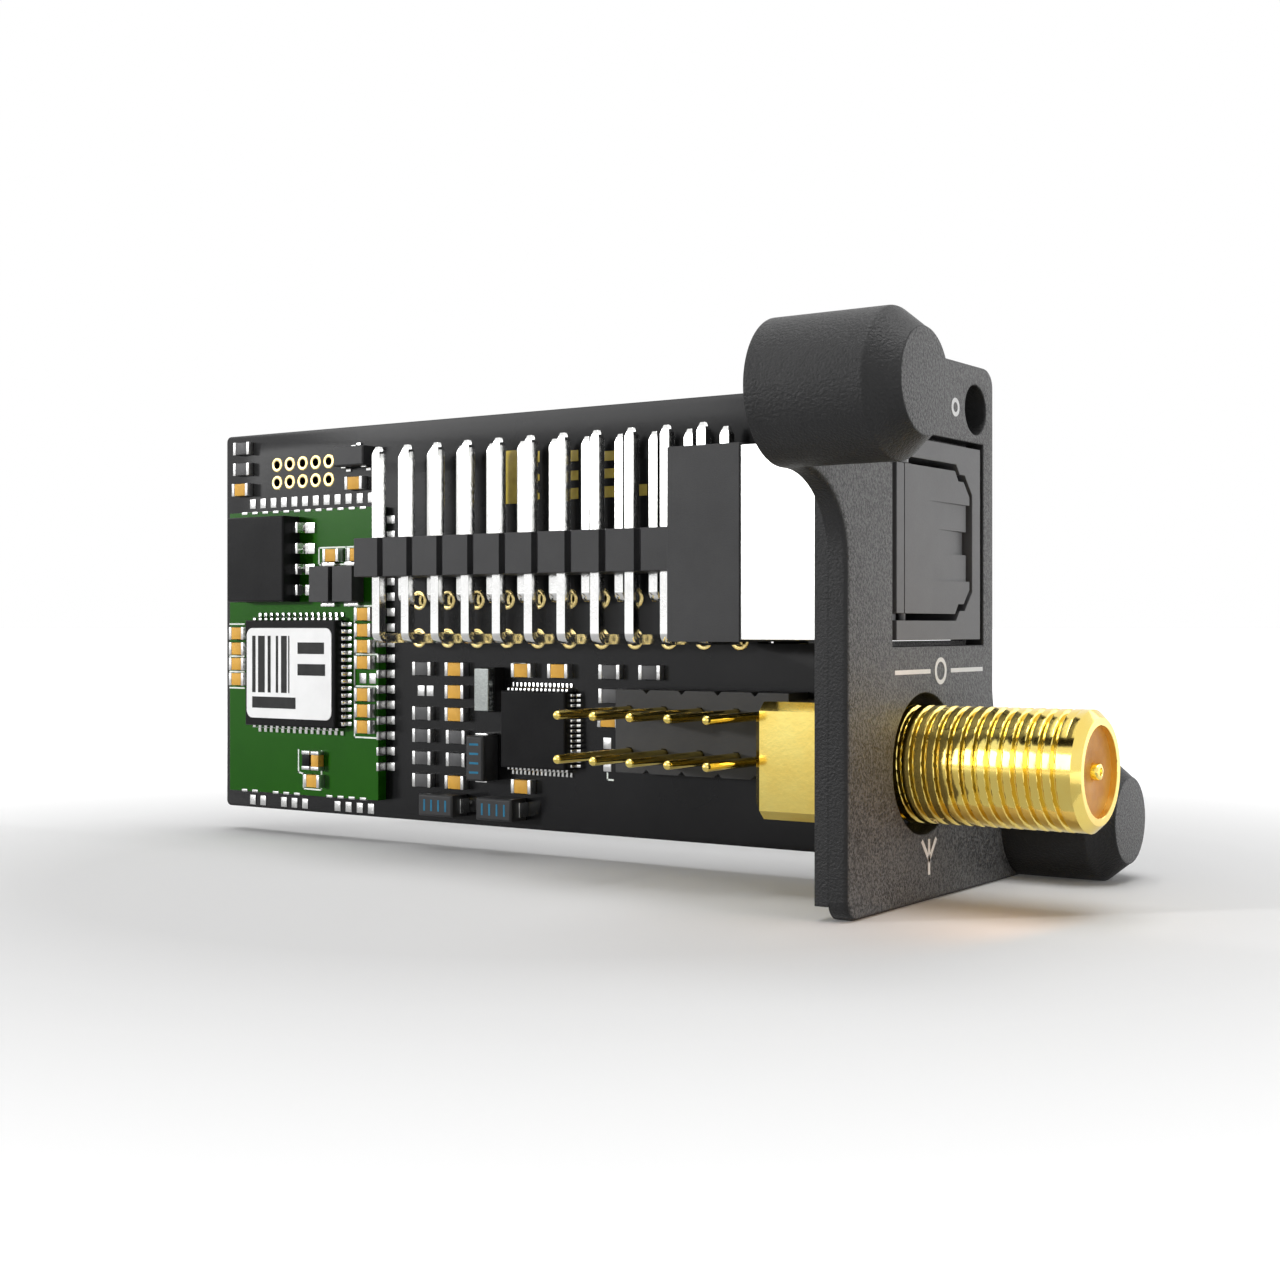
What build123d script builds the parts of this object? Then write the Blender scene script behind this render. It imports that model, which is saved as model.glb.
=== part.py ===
from build123d import *
import os
from math import atan, degrees

# Plug-in wireless audio module: a black cast front plate with two bosses, a threaded
# antenna jack, a shuttered optical socket, and an upright circuit board that carries
# a pin header, a green radio board and the small parts.

# Lengths are in millimetres. The model is drawn about the middle of the front plate:
# x = 0 is the plate's front face and x runs out towards the user, y = 0 and z = 0 are
# the plate's middle, and z is up. The last lines move every piece so that the origin
# lies under the middle of the whole module, at the level of the plate's lower edge.

# Front plate
plate_width = 17.9
plate_height = 29.7
flange_thick = 1.1
step_thick = 0.76
step_inset = 0.75
plate_corner_r = 1.1
plate_edge = 0.3
boss_r = 3.6
boss_out = 4.55
boss_length = 5.1
boss_nose = 1.4
boss_nose_r = 2.55
neck_r = 4.3
screw_bore_r = 1.25
screw_bore_depth = 5.5
groove_wall = 1.1
groove_reach = 3.2
groove_height = 1.8

# Main board
board_rear_margin = 1.16
board_height = 27.0
board_middle_z = 0.4
board_thick = 1.6
board_face_y = 3.15
board_corner_r = 0.4
notch_gap = 0.12

# Optical socket
socket_width = 10.5
socket_height = 10.8
socket_y = 1.76
socket_top_margin = 4.78
shell_depth = 9.6
opening_gap_y = 0.44
opening_gap_z = 0.32
slot_half_height = 4.35
slot_far_y = 5.93
slot_near_y = -2.62
slot_step_width = 0.67
slot_step_height = 0.55
slot_step_run = 0.45
slot_corner_run = 0.98
slot_corner_rise = 1.05
face_groove_depth = 0.5
shutter_gap = 0.38
shutter_thick = 1.0
hinge_gap = 0.07
trunnion_r = 0.25
trunnion_play = 0.06
trunnion_bite = 0.6
trunnion_end_gap = 0.05
scoop_depth = 0.22
scoop_half_height = 2.15
scoop_y = 0.12
inner_scoop_depth = 0.45
inner_scoop_half_height = 0.65
inner_scoop_y = 1.0
spring_turns = 2
spring_end_gap = 0.05
spring_play = 0.03
spring_wall_leg = 2.4
spring_flap_leg = 1.8

# Rear housing of the optical socket, with the light emitter
rear_proud = 0.13
rear_skirt_length = 4.8
rear_body_length = 2.73
emitter_size = 6.9
emitter_thick = 2.0
emitter_play = 0.05
lens_r = 1.1
lens_tip_r = 0.55
lens_rise = 0.5
lead_slot_play = 0.06
emitter_lead_size = 0.5
emitter_lead_pitch = 1.27
emitter_lead_count = 3
emitter_lead_reach = 3.6
ear_thick = 1.0
ear_reach = 1.6
ear_length = 2.4

# Status light behind the small round hole
light_hole_r = 1.4
light_hole_inset = 2.55
light_body_size = 2.6
light_body_length = 2.4
light_dome_r = 1.0
light_dome_bevel = 0.3
light_dome_back = 0.5
light_gap = 0.14

# Antenna jack
jack_z = -7.39
jack_size = 6.5
jack_length = 7.1
jack_bevel = 0.5
thread_r = 3.175
thread_end_chamfer = 0.4
relief_r = 2.9
relief_end = 0.3
jack_reach = 9.8
jack_mouth_r = 2.36
jack_mouth_depth = 0.35
jack_bore_end = 1.6
jack_hole_r = 3.8
contact_r = 0.45
contact_hole_r = 0.2
contact_hole_depth = 1.2
contact_tail_gap = 0.8
contact_rear_gap = 1.4
jack_post_r = 0.6
jack_post_offset = 2.3
post_play = 0.1
tail_reach = 1.0

# Long right-angle header
pitch = 2.54
header_columns = 11
header_end_gap = 0.12
header_outer_y = -0.80
header_tip_z = 11.82
header_block_low_z = 3.26
header_block_height = 2.52
header_notch = 0.25
header_upper_hole_z = 1.77
pin_square = 0.64
pin_end = 0.3
pin_taper = 0.9
pin_bend = 0.35
pin_play = 0.015
pin_hole_r = 0.48
ring_r = 0.66
ring_thick = 0.04

# Small straight header
service_columns = 5
service_jack_gap = 0.05
service_upper_z = -5.08
service_pin_r = 0.27
service_pin_bevel = 0.14
service_reach = 9.7
service_block_thick = 2.3
service_block_end = 1.0

# Green radio board
radio_header_gap = 1.71
radio_width = 14.6
radio_height = 20.08
radio_middle_z = -1.83
radio_thick = 0.8

# Plated edge pads of the radio board and the lands beside them
edge_pitch = 1.056
edge_pad_width = 0.56
edge_pad_face = 0.14
edge_skin = 0.04
land_length = 0.7
land_gap = 0.34
side_land_gap = 0.1
edge_pad_margin = 1.4
top_pad_count = 12
side_pad_margin = 0.89
side_pad_count = 17
bottom_pad_places = (0, 1, 2, 3, 6, 7, 8, 10, 11)

# Chips. Places named _in are measured from the radio board's right edge towards the rear
chip_stand = 0.08
chip_bevel = 0.09
lead_thick = 0.12
lead_shoulder_share = 0.3
lead_heel_share = 0.5
radio_chip_in = 7.32
radio_chip_z = -3.28
radio_chip_width = 8.8
radio_chip_height = 7.45
radio_chip_thick = 1.15
radio_lead_count = 15
radio_top_pitch = 0.577
radio_side_pitch = 0.49
radio_lead_width = 0.26
radio_lead_out = 0.52
label_width = 8.3
label_height = 6.35
label_corner_r = 0.55
label_thick = 0.05
audio_chip_out = 7.38
audio_chip_z = -6.6
audio_chip_width = 5.2
audio_chip_height = 4.95
audio_chip_thick = 1.05
audio_lead_count = 15
audio_top_pitch = 0.338
audio_side_pitch = 0.32
audio_lead_width = 0.17
audio_lead_out = 0.5
memory_chip_in = 10.23
memory_chip_z = 4.74
memory_chip_width = 5.65
memory_chip_height = 6.0
memory_chip_thick = 1.65
memory_lead_count = 4
memory_lead_pitch = 1.455
memory_lead_width = 0.72
memory_lead_out = 1.5
regulator_in = 2.5
regulator_z = 11.75
regulator_width = 2.8
regulator_height = 1.35
regulator_thick = 1.1
regulator_lead_pitch = 0.95
regulator_lead_width = 0.42
regulator_lead_out = 0.3

# Coil blocks on the radio board
coil_in = 2.23
coil_pitch = 2.22
coil_z = 2.93
coil_width = 1.85
coil_height = 2.47
coil_thick = 1.2
coil_end = 0.3
coil_end_width = 1.3
coil_end_thick = 0.35

# Places named _out are measured from the small header's end towards the rear

# Crystal on the main board
crystal_out = 11.28
crystal_z = -4.1
crystal_width = 1.3
crystal_height = 2.9
crystal_base_thick = 0.9
crystal_lid_thick = 0.6
crystal_lid_inset = 0.06

# Moulded power capacitors on the main board, two lying and one upright
power_far_out = 15.13
power_near_out = 10.18
power_low_z = -11.82
power_upright_out = 11.78
power_upright_z = -8.57
power_length = 2.95
power_width = 1.45
power_thick = 1.6
power_bevel = 0.12
power_tab_length = 0.12
power_tab_height = 0.9
power_tab_width = 0.95

# Small chip parts, each a body between two metal ends
part_length = 1.62
part_width = 0.86
part_end = 0.26
part_skin = 0.03
capacitor_thick = 0.55
resistor_thick = 0.42
row_z = -2.83
row_pitch = 1.5
column_1_gap = 1.36
column_2_gap = 4.01
column_3_gap = 1.34
column_4_gap = 2.33
column_5_gap = 1.42
column_6_out = -1.22
column_5_out = column_6_out + part_length + column_5_gap
column_4_out = column_5_out + part_length + column_4_gap
column_3_out = column_4_out + part_length + column_3_gap
column_2_out = column_3_out + part_length + column_2_gap
column_1_out = column_2_out + part_length + column_1_gap
capacitor_rows = ((column_2_out, (0, 1, 2, 5)), (column_3_out, (0, 5)), (column_4_out, (0,)),
                  (column_5_out, (2,)))
resistor_rows = ((column_1_out, (0, 2, 3, 4, 5)), (column_2_out, (3, 4)), (column_5_out, (0, 1)),
                 (column_6_out, (0,)))
top_row_z = 12.93
rear_column_in = 13.8
near_column_in = 2.55
radio_part_length = 1.5
radio_row_pitch = 1.1
radio_right_in = 0.95
radio_right_z = 0.85
radio_right_rows = (0, 1, 2, 3, 5, 6, 7)
radio_spare_row = 4
radio_left_in = 13.3
radio_left_z = -0.49
radio_left_rows = (0, 1, 2, 3)
radio_top_in = 1.61
radio_top_step = 2.34
radio_top_z = 4.93
low_capacitor_in = 5.77
low_capacitor_z = -10.78
upright_in = 5.46
upright_step = 1.0
upright_z = -9.36
upright_width = 0.7
upright_length = 1.33
spare_pad_width = 0.6
spare_pad_height = 0.7
spare_pad_thick = 0.04
spare_row = 1
spare_step_x = 0.8
spare_near_out = 2.25
spare_near_z = -8.03
spare_step_z = 1.42

# Test points
test_columns = 5
test_in = 5.44
test_upper_z = 11.6
test_pitch = 1.28
test_ring_r = 0.52
test_hole_r = 0.27

# Flat sides that stand for the round of a small hole, ring, post or pin
small_sides = 6

# How far a cutting shape runs past the face it opens, and how near counts as the same place
cut_past = 1.0
touch = 0.01

# Turns about y that point a lead or pad drawn along +x up, down or back
turn_up = -90
turn_down = 90
turn_back = 180

# Places worked out from the sizes above
step_back_x = -flange_thick - step_thick
boss_y = plate_width / 2 + boss_out
boss_z = plate_height / 2 - boss_r
light_hole_y = plate_width / 2 - light_hole_inset
light_hole_z = plate_height / 2 - light_hole_inset
board_back_y = board_face_y + board_thick
board_front_x = step_back_x
board_low_z = board_middle_z - board_height / 2
board_high_z = board_middle_z + board_height / 2
tail_end_y = board_back_y + tail_reach
radio_face_y = board_face_y - radio_thick
radio_low_z = radio_middle_z - radio_height / 2
radio_high_z = radio_middle_z + radio_height / 2
jack_y = board_face_y - jack_size / 2
jack_rear_x = step_back_x - jack_length
jack_middle_x = step_back_x - jack_length / 2
contact_tail_x = jack_rear_x + contact_rear_gap
socket_near_y = socket_y - socket_width / 2
socket_far_y = socket_y + socket_width / 2
socket_top_z = plate_height / 2 - socket_top_margin
socket_z = socket_top_z - socket_height / 2
socket_low_z = socket_top_z - socket_height
rear_top_z = socket_top_z + rear_proud
rear_low_z = socket_low_z - rear_proud
rear_near_y = socket_near_y - rear_proud
rear_far_y = socket_far_y + rear_proud
rear_body_x = -shell_depth - rear_body_length
rear_skirt_x = -shell_depth - rear_skirt_length
hinge_x = -shutter_thick / 2
hinge_y = slot_near_y + hinge_gap + shutter_thick / 2
shutter_half_height = slot_half_height - shutter_gap
shutter_far_y = slot_far_y - shutter_gap
spring_wire = (shutter_gap - 2 * spring_end_gap) / spring_turns
spring_coil_r = trunnion_r + spring_play + spring_wire / 2
header_inner_y = header_outer_y + pitch
header_lower_hole_z = header_upper_hole_z - pitch
header_last_x = rear_body_x - header_end_gap - pitch / 2
header_block_near_y = header_outer_y - pitch / 2
header_xs = [header_last_x - i * pitch for i in range(header_columns)]
radio_edge_x = header_xs[-1] - pitch / 2 - radio_header_gap
radio_left_x = radio_edge_x - radio_width
board_rear_x = radio_left_x - board_rear_margin
board_length = board_front_x - board_rear_x
board_middle_x = (board_front_x + board_rear_x) / 2
service_last_x = jack_rear_x - service_jack_gap - service_block_end
service_xs = [service_last_x - i * pitch for i in range(service_columns)]
service_zs = (service_upper_z, service_upper_z - pitch)
service_end_x = service_xs[-1] - service_block_end
radio_chip_x = radio_edge_x - radio_chip_in
memory_chip_x = radio_edge_x - memory_chip_in
regulator_x = radio_edge_x - regulator_in
audio_chip_x = service_end_x - audio_chip_out
crystal_x = service_end_x - crystal_out
coil_xs = (radio_edge_x - coil_in - coil_pitch, radio_edge_x - coil_in)
power_places = ((service_end_x - power_far_out, power_low_z, False),
                (service_end_x - power_near_out, power_low_z, False),
                (service_end_x - power_upright_out, power_upright_z, True))
test_xs = [radio_edge_x - test_in - i * test_pitch for i in range(test_columns)]
test_zs = (test_upper_z, test_upper_z - test_pitch)
emitter_lead_y = board_back_y + emitter_lead_size / 2


def small_round(radius):
    """The outline of a small round hole, ring or pin, drawn with flat sides."""
    return RegularPolygon(radius, small_sides, major_radius=False)


def block(x0, x1, y0, y1, z0, z1):
    """A box between two corners."""
    return Pos((x0 + x1) / 2, (y0 + y1) / 2, (z0 + z1) / 2) * Box(x1 - x0, y1 - y0, z1 - z0)


def bar_x(radius, x0, x1, y, z):
    """A round bar along x."""
    return Pos((x0 + x1) / 2, y, z) * Rot(0, 90, 0) * Cylinder(radius, x1 - x0)


def bar_y(radius, y0, y1, x, z):
    """A round bar along y."""
    return Pos(x, (y0 + y1) / 2, z) * Rot(90, 0, 0) * Cylinder(radius, y1 - y0)


def bar_z(radius, z0, z1, x, y):
    """A round bar along z."""
    return Pos(x, y, (z0 + z1) / 2) * Cylinder(radius, z1 - z0)


def carry_x(outline, x0, x1):
    """An outline drawn in y and z, carried along x."""
    plane = Plane(origin=(x0, 0, 0), x_dir=(0, 1, 0), z_dir=(1, 0, 0))
    return extrude(plane * outline, amount=x1 - x0)


def carry_y(outline, y0, y1):
    """An outline drawn in x and z, carried along y away from the board's face."""
    plane = Plane(origin=(0, y1, 0), x_dir=(1, 0, 0), z_dir=(0, -1, 0))
    return extrude(plane * outline, amount=y1 - y0)


def face_of(*points):
    """A flat face with straight sides through the given points."""
    return make_face(Polyline(*points, close=True))


def on_board(x, z, width, height, thick, face_y=board_face_y, lift=0.0):
    """A flat block that stands thick proud of a board's face."""
    near_y = face_y - lift - thick
    return block(x - width / 2, x + width / 2, near_y, near_y + thick, z - height / 2, z + height / 2)


# Front plate

def plate_outline():
    """The plate with its two necks and bosses, one high on the near side, one low on the far side."""
    outline = Rectangle(plate_width, plate_height)
    square_corners = [v for v in outline.vertices() if v.X * v.Y > 0]
    outline = fillet(square_corners, plate_corner_r)
    for side in (-1, 1):
        neck_y = (boss_y + plate_width / 2) / 2
        neck = Rectangle(boss_y - plate_width / 2, 2 * boss_r)
        outline += Pos(side * neck_y, -side * boss_z) * neck
        outline += Pos(side * boss_y, -side * boss_z) * Circle(boss_r)
    inner = [v for v in outline.vertices()
             if abs(abs(v.X) - plate_width / 2) < touch and abs(abs(v.Y) - (boss_z - boss_r)) < touch]
    return fillet(inner, neck_r)


def plate_openings():
    """The socket's window, the round hole of the jack and the small hole of the light."""
    behind_x = step_back_x - cut_past
    window = block(behind_x, cut_past, socket_near_y - opening_gap_y, socket_far_y + opening_gap_y,
                   socket_low_z - opening_gap_z, socket_top_z + opening_gap_z)
    jack_hole = bar_x(jack_hole_r, behind_x, cut_past, jack_y, jack_z)
    light_hole = bar_x(light_hole_r, behind_x, cut_past, light_hole_y, light_hole_z)
    return [window, jack_hole, light_hole]


def make_flange():
    """The whole flange with its ears, chamfered round the front."""
    flange = carry_x(plate_outline(), -flange_thick, 0)
    front_rim = flange.faces().sort_by(Axis.X)[-1].edges()
    return chamfer(front_rim, plate_edge)


def between_ears():
    """The space that holds the flange's middle, between its two ears."""
    return block(-flange_thick - cut_past, cut_past, -plate_width / 2, plate_width / 2,
                 -plate_height, plate_height)


def make_ears():
    """The two ears of the casting, each with its boss and a blind bore for a screw from behind."""
    ears = make_flange() - between_ears()
    bosses = []
    for side, ear in zip((-1, 1), ears.solids().sort_by(Axis.Y)):
        nose = Plane(origin=(boss_length, side * boss_y, -side * boss_z), x_dir=(0, 1, 0),
                     z_dir=(1, 0, 0)) * Pos(0, 0, boss_nose / 2) * Cone(boss_r, boss_nose_r, boss_nose)
        boss = ear + bar_x(boss_r, -flange_thick, boss_length, side * boss_y, -side * boss_z) + nose
        bosses.append(boss - bar_x(screw_bore_r, -flange_thick - cut_past, -flange_thick + screw_bore_depth,
                                   side * boss_y, -side * boss_z))
    return bosses


def make_plate_middle():
    """The casting between its ears: stepped behind, with openings and the ribs that hold the board."""
    plate = make_flange() & between_ears()
    step_height = plate_height - 2 * step_inset
    plate += block(step_back_x, -flange_thick, -plate_width / 2, plate_width / 2,
                   -step_height / 2, step_height / 2)
    plate -= plate_openings()
    rib_back_x = step_back_x - groove_reach
    low_z = board_low_z
    high_z = board_high_z
    near_rib = (board_face_y - groove_wall, board_face_y)
    far_rib = (board_back_y, board_back_y + groove_wall)
    plate += block(rib_back_x, step_back_x, *near_rib, low_z, low_z + groove_height)
    plate += block(rib_back_x, step_back_x, *far_rib, low_z, low_z + groove_height)
    plate += block(rib_back_x, step_back_x, *near_rib, high_z - groove_height, high_z)
    return plate


def make_front_plate():
    """One casting, given as its middle and its two ears, which meet face to face."""
    return [make_plate_middle(), *make_ears()]


# Main board

def make_main_board():
    """The black board with its notch for the optical socket and its drilled holes."""
    outline = Pos(board_middle_x, board_middle_z) * RectangleRounded(
        board_length, board_height, board_corner_r)
    notch_left = rear_body_x - notch_gap
    notch_right = board_front_x + cut_past
    notch = Rectangle(notch_right - notch_left, rear_top_z - rear_low_z + 2 * notch_gap)
    outline -= Pos((notch_left + notch_right) / 2, (rear_low_z + rear_top_z) / 2) * notch
    holes = [(x, z, pin_hole_r) for x in header_xs for z in (header_upper_hole_z, header_lower_hole_z)]
    holes += [(x, z, service_pin_r + pin_play) for x in service_xs for z in service_zs]
    holes += [(x, z, test_hole_r) for x in test_xs for z in test_zs]
    holes += [(x, z, jack_post_r + post_play) for x, z in jack_post_places()]
    holes.append((contact_tail_x, jack_z, pin_hole_r))
    outline -= [Pos(x, z) * small_round(radius) for x, z, radius in holes]
    return carry_y(outline, board_face_y, board_back_y)


# Optical socket

def slot_outline(shrink=0.0):
    """The plug-shaped slot: square on the near side, stepped and cut at the far corners."""
    half = slot_half_height
    step_y = slot_far_y - slot_corner_run - slot_step_width
    step_z = half - slot_step_height
    upper = [(slot_near_y, half), (step_y - slot_step_run, half), (step_y, step_z),
             (step_y + slot_step_width, step_z), (slot_far_y, step_z - slot_corner_rise)]
    lower = [(y, -z) for y, z in reversed(upper)]
    outline = Pos(0, socket_z) * face_of(*upper, *lower)
    if shrink:
        outline = offset(outline, -shrink, kind=Kind.INTERSECTION)
    return outline


def make_socket_shell():
    """The front frame of the socket, open from end to end, with blind holes for the shutter's pins."""
    shell = block(-shell_depth, 0, socket_near_y, socket_far_y, socket_low_z, socket_top_z)
    shell -= carry_x(slot_outline(), -shell_depth - cut_past, cut_past)
    for side in (-1, 1):
        inner_z = socket_z + side * shutter_half_height
        outer_z = socket_z + side * slot_half_height
        shell -= block(-face_groove_depth, cut_past, socket_near_y - cut_past, slot_near_y,
                       min(inner_z, outer_z), max(inner_z, outer_z))
        end_z = socket_z + side * (slot_half_height + trunnion_bite + trunnion_end_gap)
        shell -= bar_z(trunnion_r + trunnion_play, min(socket_z, end_z), max(socket_z, end_z),
                       hinge_x, hinge_y)
    return shell


def make_socket_shutter():
    """The flap that closes the slot. It turns inwards about two pins at its near edge."""
    left_y = hinge_y - shutter_thick / 2
    upright = Pos((left_y + socket_y) / 2, socket_z) * Rectangle(socket_y - left_y,
                                                               2 * shutter_half_height)
    flap = carry_x(slot_outline(shutter_gap) + upright, -shutter_thick, 0)
    low_z = socket_z - shutter_half_height
    high_z = socket_z + shutter_half_height
    flap -= block(-shutter_thick - cut_past, hinge_x, left_y - cut_past, hinge_y,
                  low_z - cut_past, high_z + cut_past)
    flap += bar_z(shutter_thick / 2, low_z, high_z, hinge_x, hinge_y)
    reach = slot_half_height + trunnion_bite
    flap += bar_z(trunnion_r, socket_z - reach, socket_z + reach, hinge_x, hinge_y)
    flap -= scoop(scoop_y, scoop_depth, scoop_half_height)
    flap -= scoop(inner_scoop_y, inner_scoop_depth, inner_scoop_half_height)
    return flap


def scoop(start_y, depth, half_height):
    """A ramp that leads a plug's tip: it starts at the face and deepens to the flap's far edge."""
    ramp = face_of((0.0, start_y), (-depth, shutter_far_y), (-depth, shutter_far_y + cut_past),
                   (cut_past, shutter_far_y + cut_past), (cut_past, start_y))
    return extrude(Pos(0, 0, socket_z - half_height) * ramp, amount=2 * half_height)


def make_shutter_spring():
    """The closing spring round the upper pin, with one leg along the wall and one over the flap's edge."""
    wire = Rectangle(spring_wire, spring_wire)
    low_z = socket_z + shutter_half_height + spring_end_gap + spring_wire / 2
    zs = [low_z + i * spring_wire for i in range(spring_turns)]
    turn = revolve(Plane.XZ * Pos(spring_coil_r, 0) * wire, Axis.Z)
    spring = carry_x(Pos(hinge_y - spring_coil_r, zs[-1]) * wire, hinge_x - spring_wall_leg, hinge_x)
    spring += carry_y(Pos(hinge_x - spring_coil_r, zs[0]) * wire, hinge_y, hinge_y + spring_flap_leg)
    for z in zs:
        spring += Pos(hinge_x, hinge_y, z) * turn
    return spring


def make_socket_rear_housing():
    """The dark rear housing: a pocket for the emitter, a skirt over the header and two ears."""
    body = block(rear_body_x, -shell_depth, rear_near_y, rear_far_y, rear_low_z, rear_top_z)
    skirt_far_y = header_block_near_y - notch_gap
    body += block(rear_skirt_x, rear_body_x, rear_near_y, skirt_far_y, rear_low_z, rear_top_z)
    ear_x = rear_body_x + ear_length
    for low_z, high_z in ((rear_low_z - ear_reach, rear_low_z), (rear_top_z, rear_top_z + ear_reach)):
        body += block(rear_body_x, ear_x, board_back_y, board_back_y + ear_thick, low_z, high_z)
    half = emitter_size / 2 + emitter_play
    body -= block(-shell_depth - emitter_thick, 0, socket_y - half, socket_y + half,
                  socket_z - half, socket_z + half)
    slot_half = emitter_lead_pitch * (emitter_lead_count - 1) / 2 + emitter_lead_size / 2 + lead_slot_play
    slot_far = emitter_lead_y + emitter_lead_size / 2 + lead_slot_play
    body -= block(rear_body_x - cut_past, 0, board_back_y, slot_far,
                  socket_z - slot_half, socket_z + slot_half)
    return body


def make_light_emitter():
    """The emitter's square block with a low lens on its front."""
    half = emitter_size / 2
    back_x = -shell_depth - emitter_thick
    emitter = block(back_x, -shell_depth, socket_y - half, socket_y + half, socket_z - half, socket_z + half)
    lens = Plane(origin=(-shell_depth, socket_y, socket_z), x_dir=(0, 1, 0), z_dir=(1, 0, 0))
    return emitter + lens * Pos(0, 0, lens_rise / 2) * Cone(lens_r, lens_tip_r, lens_rise)


def make_emitter_leads():
    """Straight leads that lie on the board's rear face."""
    x0 = rear_body_x - emitter_lead_reach
    x1 = -shell_depth - emitter_thick
    half = emitter_lead_size / 2
    first_z = socket_z - emitter_lead_pitch * (emitter_lead_count - 1) / 2
    zs = [first_z + i * emitter_lead_pitch for i in range(emitter_lead_count)]
    return [block(x0, x1, emitter_lead_y - half, emitter_lead_y + half, z - half, z + half) for z in zs]


def make_status_light():
    """A small light that lies on the board's rear face, with its dome in the plate's hole."""
    body_x = step_back_x - light_gap
    half = light_body_size / 2
    light = block(body_x - light_body_length, body_x, board_back_y, light_hole_y + half,
                  light_hole_z - half, light_hole_z + half)
    dome = carry_x(Pos(light_hole_y, light_hole_z) * small_round(light_dome_r), body_x, -light_dome_back)
    return light + chamfer(dome.faces().sort_by(Axis.X)[-1].edges(), light_dome_bevel)


# Antenna jack

def jack_post_places():
    """The four places where the jack's posts go through the board."""
    return [(jack_middle_x + i * jack_post_offset, jack_z + j * jack_post_offset)
            for i in (-1, 1) for j in (-1, 1)]


def make_antenna_jack():
    """A bevelled square body with a round neck for the fine thread, one turned piece with four posts."""
    half = jack_size / 2
    body = block(jack_rear_x, step_back_x, jack_y - half, jack_y + half, jack_z - half, jack_z + half)
    long_edges = body.edges().filter_by(Axis.X)
    rear_edges = body.faces().sort_by(Axis.X)[0].edges()
    body = chamfer(long_edges + rear_edges, jack_bevel)
    neck = bar_x(thread_r, relief_end, jack_reach, jack_y, jack_z)
    neck = chamfer(neck.faces().sort_by(Axis.X)[-1].edges(), thread_end_chamfer)
    jack = body + neck + bar_x(relief_r, step_back_x, relief_end, jack_y, jack_z)
    jack -= bar_x(jack_mouth_r, jack_rear_x + jack_bore_end, jack_reach + cut_past, jack_y, jack_z)
    jack -= block(contact_tail_x - contact_tail_gap, contact_tail_x + contact_tail_gap,
                  jack_y - contact_tail_gap, board_face_y + cut_past,
                  jack_z - contact_tail_gap, jack_z + contact_tail_gap)
    for x, z in jack_post_places():
        jack += carry_y(Pos(x, z) * small_round(jack_post_r), board_face_y - jack_bevel, tail_end_y)
    return jack


def make_antenna_insulator():
    """The round insulator between the jack and its centre contact."""
    x0 = jack_rear_x + jack_bore_end + contact_tail_gap
    x1 = jack_reach - jack_mouth_depth
    return (bar_x(jack_mouth_r, x0, x1, jack_y, jack_z)
            - bar_x(contact_r, x0 - cut_past, x1 + cut_past, jack_y, jack_z))


def make_antenna_contact():
    """The centre contact, with a tail that turns into the board."""
    contact = bar_x(contact_r, contact_tail_x, jack_reach, jack_y, jack_z)
    hole = Pos(jack_y, jack_z) * small_round(contact_hole_r)
    contact -= carry_x(hole, jack_reach - contact_hole_depth, jack_reach + cut_past)
    half = pin_square / 2
    return contact + block(contact_tail_x - half, contact_tail_x + half, jack_y - half, tail_end_y,
                           jack_z - half, jack_z + half)


# Long header

def bent_pin(pin_y, hole_z):
    """A square pin that stands upright and bends back through the board, with a tapered tip."""
    half = pin_square / 2
    near = pin_y - half
    far = pin_y + half
    straight_z = header_tip_z - pin_taper
    side = face_of((near, hole_z - half), (tail_end_y, hole_z - half), (tail_end_y, hole_z + half),
                   (far, hole_z + half), (far, straight_z), (near, straight_z))
    bend = [v for v in side.vertices() if abs(v.X - near) < touch and v.Y < hole_z]
    pin = carry_x(chamfer(bend, pin_bend), -half, half)
    taper = degrees(atan((pin_square - pin_end) / 2 / pin_taper))
    tip = extrude(Pos(0, pin_y, straight_z) * Rectangle(pin_square, pin_square), amount=pin_taper,
                  taper=taper)
    return pin + tip


def pin_row(pin_y, hole_z):
    """One row of bent pins."""
    pin = bent_pin(pin_y, hole_z)
    return [Pos(x, 0, 0) * pin for x in header_xs]


def header_outline(xs, middle, hole):
    """A two-row header block seen along its pins: notched between columns, with its pin holes."""
    half = pitch / 2
    cell = chamfer(Rectangle(pitch, 2 * pitch).vertices(), header_notch)
    cell -= Pos(0, -half) * hole
    cell -= Pos(0, half) * hole
    return Sketch() + [Pos(x, middle) * cell for x in xs]


def make_header_block():
    """The long header's insulator, with a square hole for each pin."""
    hole = Rectangle(pin_square + 2 * pin_play, pin_square + 2 * pin_play)
    outline = header_outline(header_xs, header_outer_y + pitch / 2, hole)
    return extrude(Pos(0, 0, header_block_low_z) * outline, amount=header_block_height)


def rings(places, outer_r, hole):
    """Thin plated rings on the board's face."""
    ring = small_round(outer_r) - hole
    return [carry_y(Pos(x, z) * ring, board_face_y - ring_thick, board_face_y) for x, z in places]


def make_header_rings():
    """Rings soldered up to the square pins."""
    places = [(x, z) for x in header_xs for z in (header_upper_hole_z, header_lower_hole_z)]
    return rings(places, ring_r, Rectangle(pin_square + 2 * pin_play, pin_square + 2 * pin_play))


def make_test_rings():
    places = [(x, z) for x in test_xs for z in test_zs]
    return rings(places, test_ring_r, small_round(test_hole_r))


# Small straight header

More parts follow.
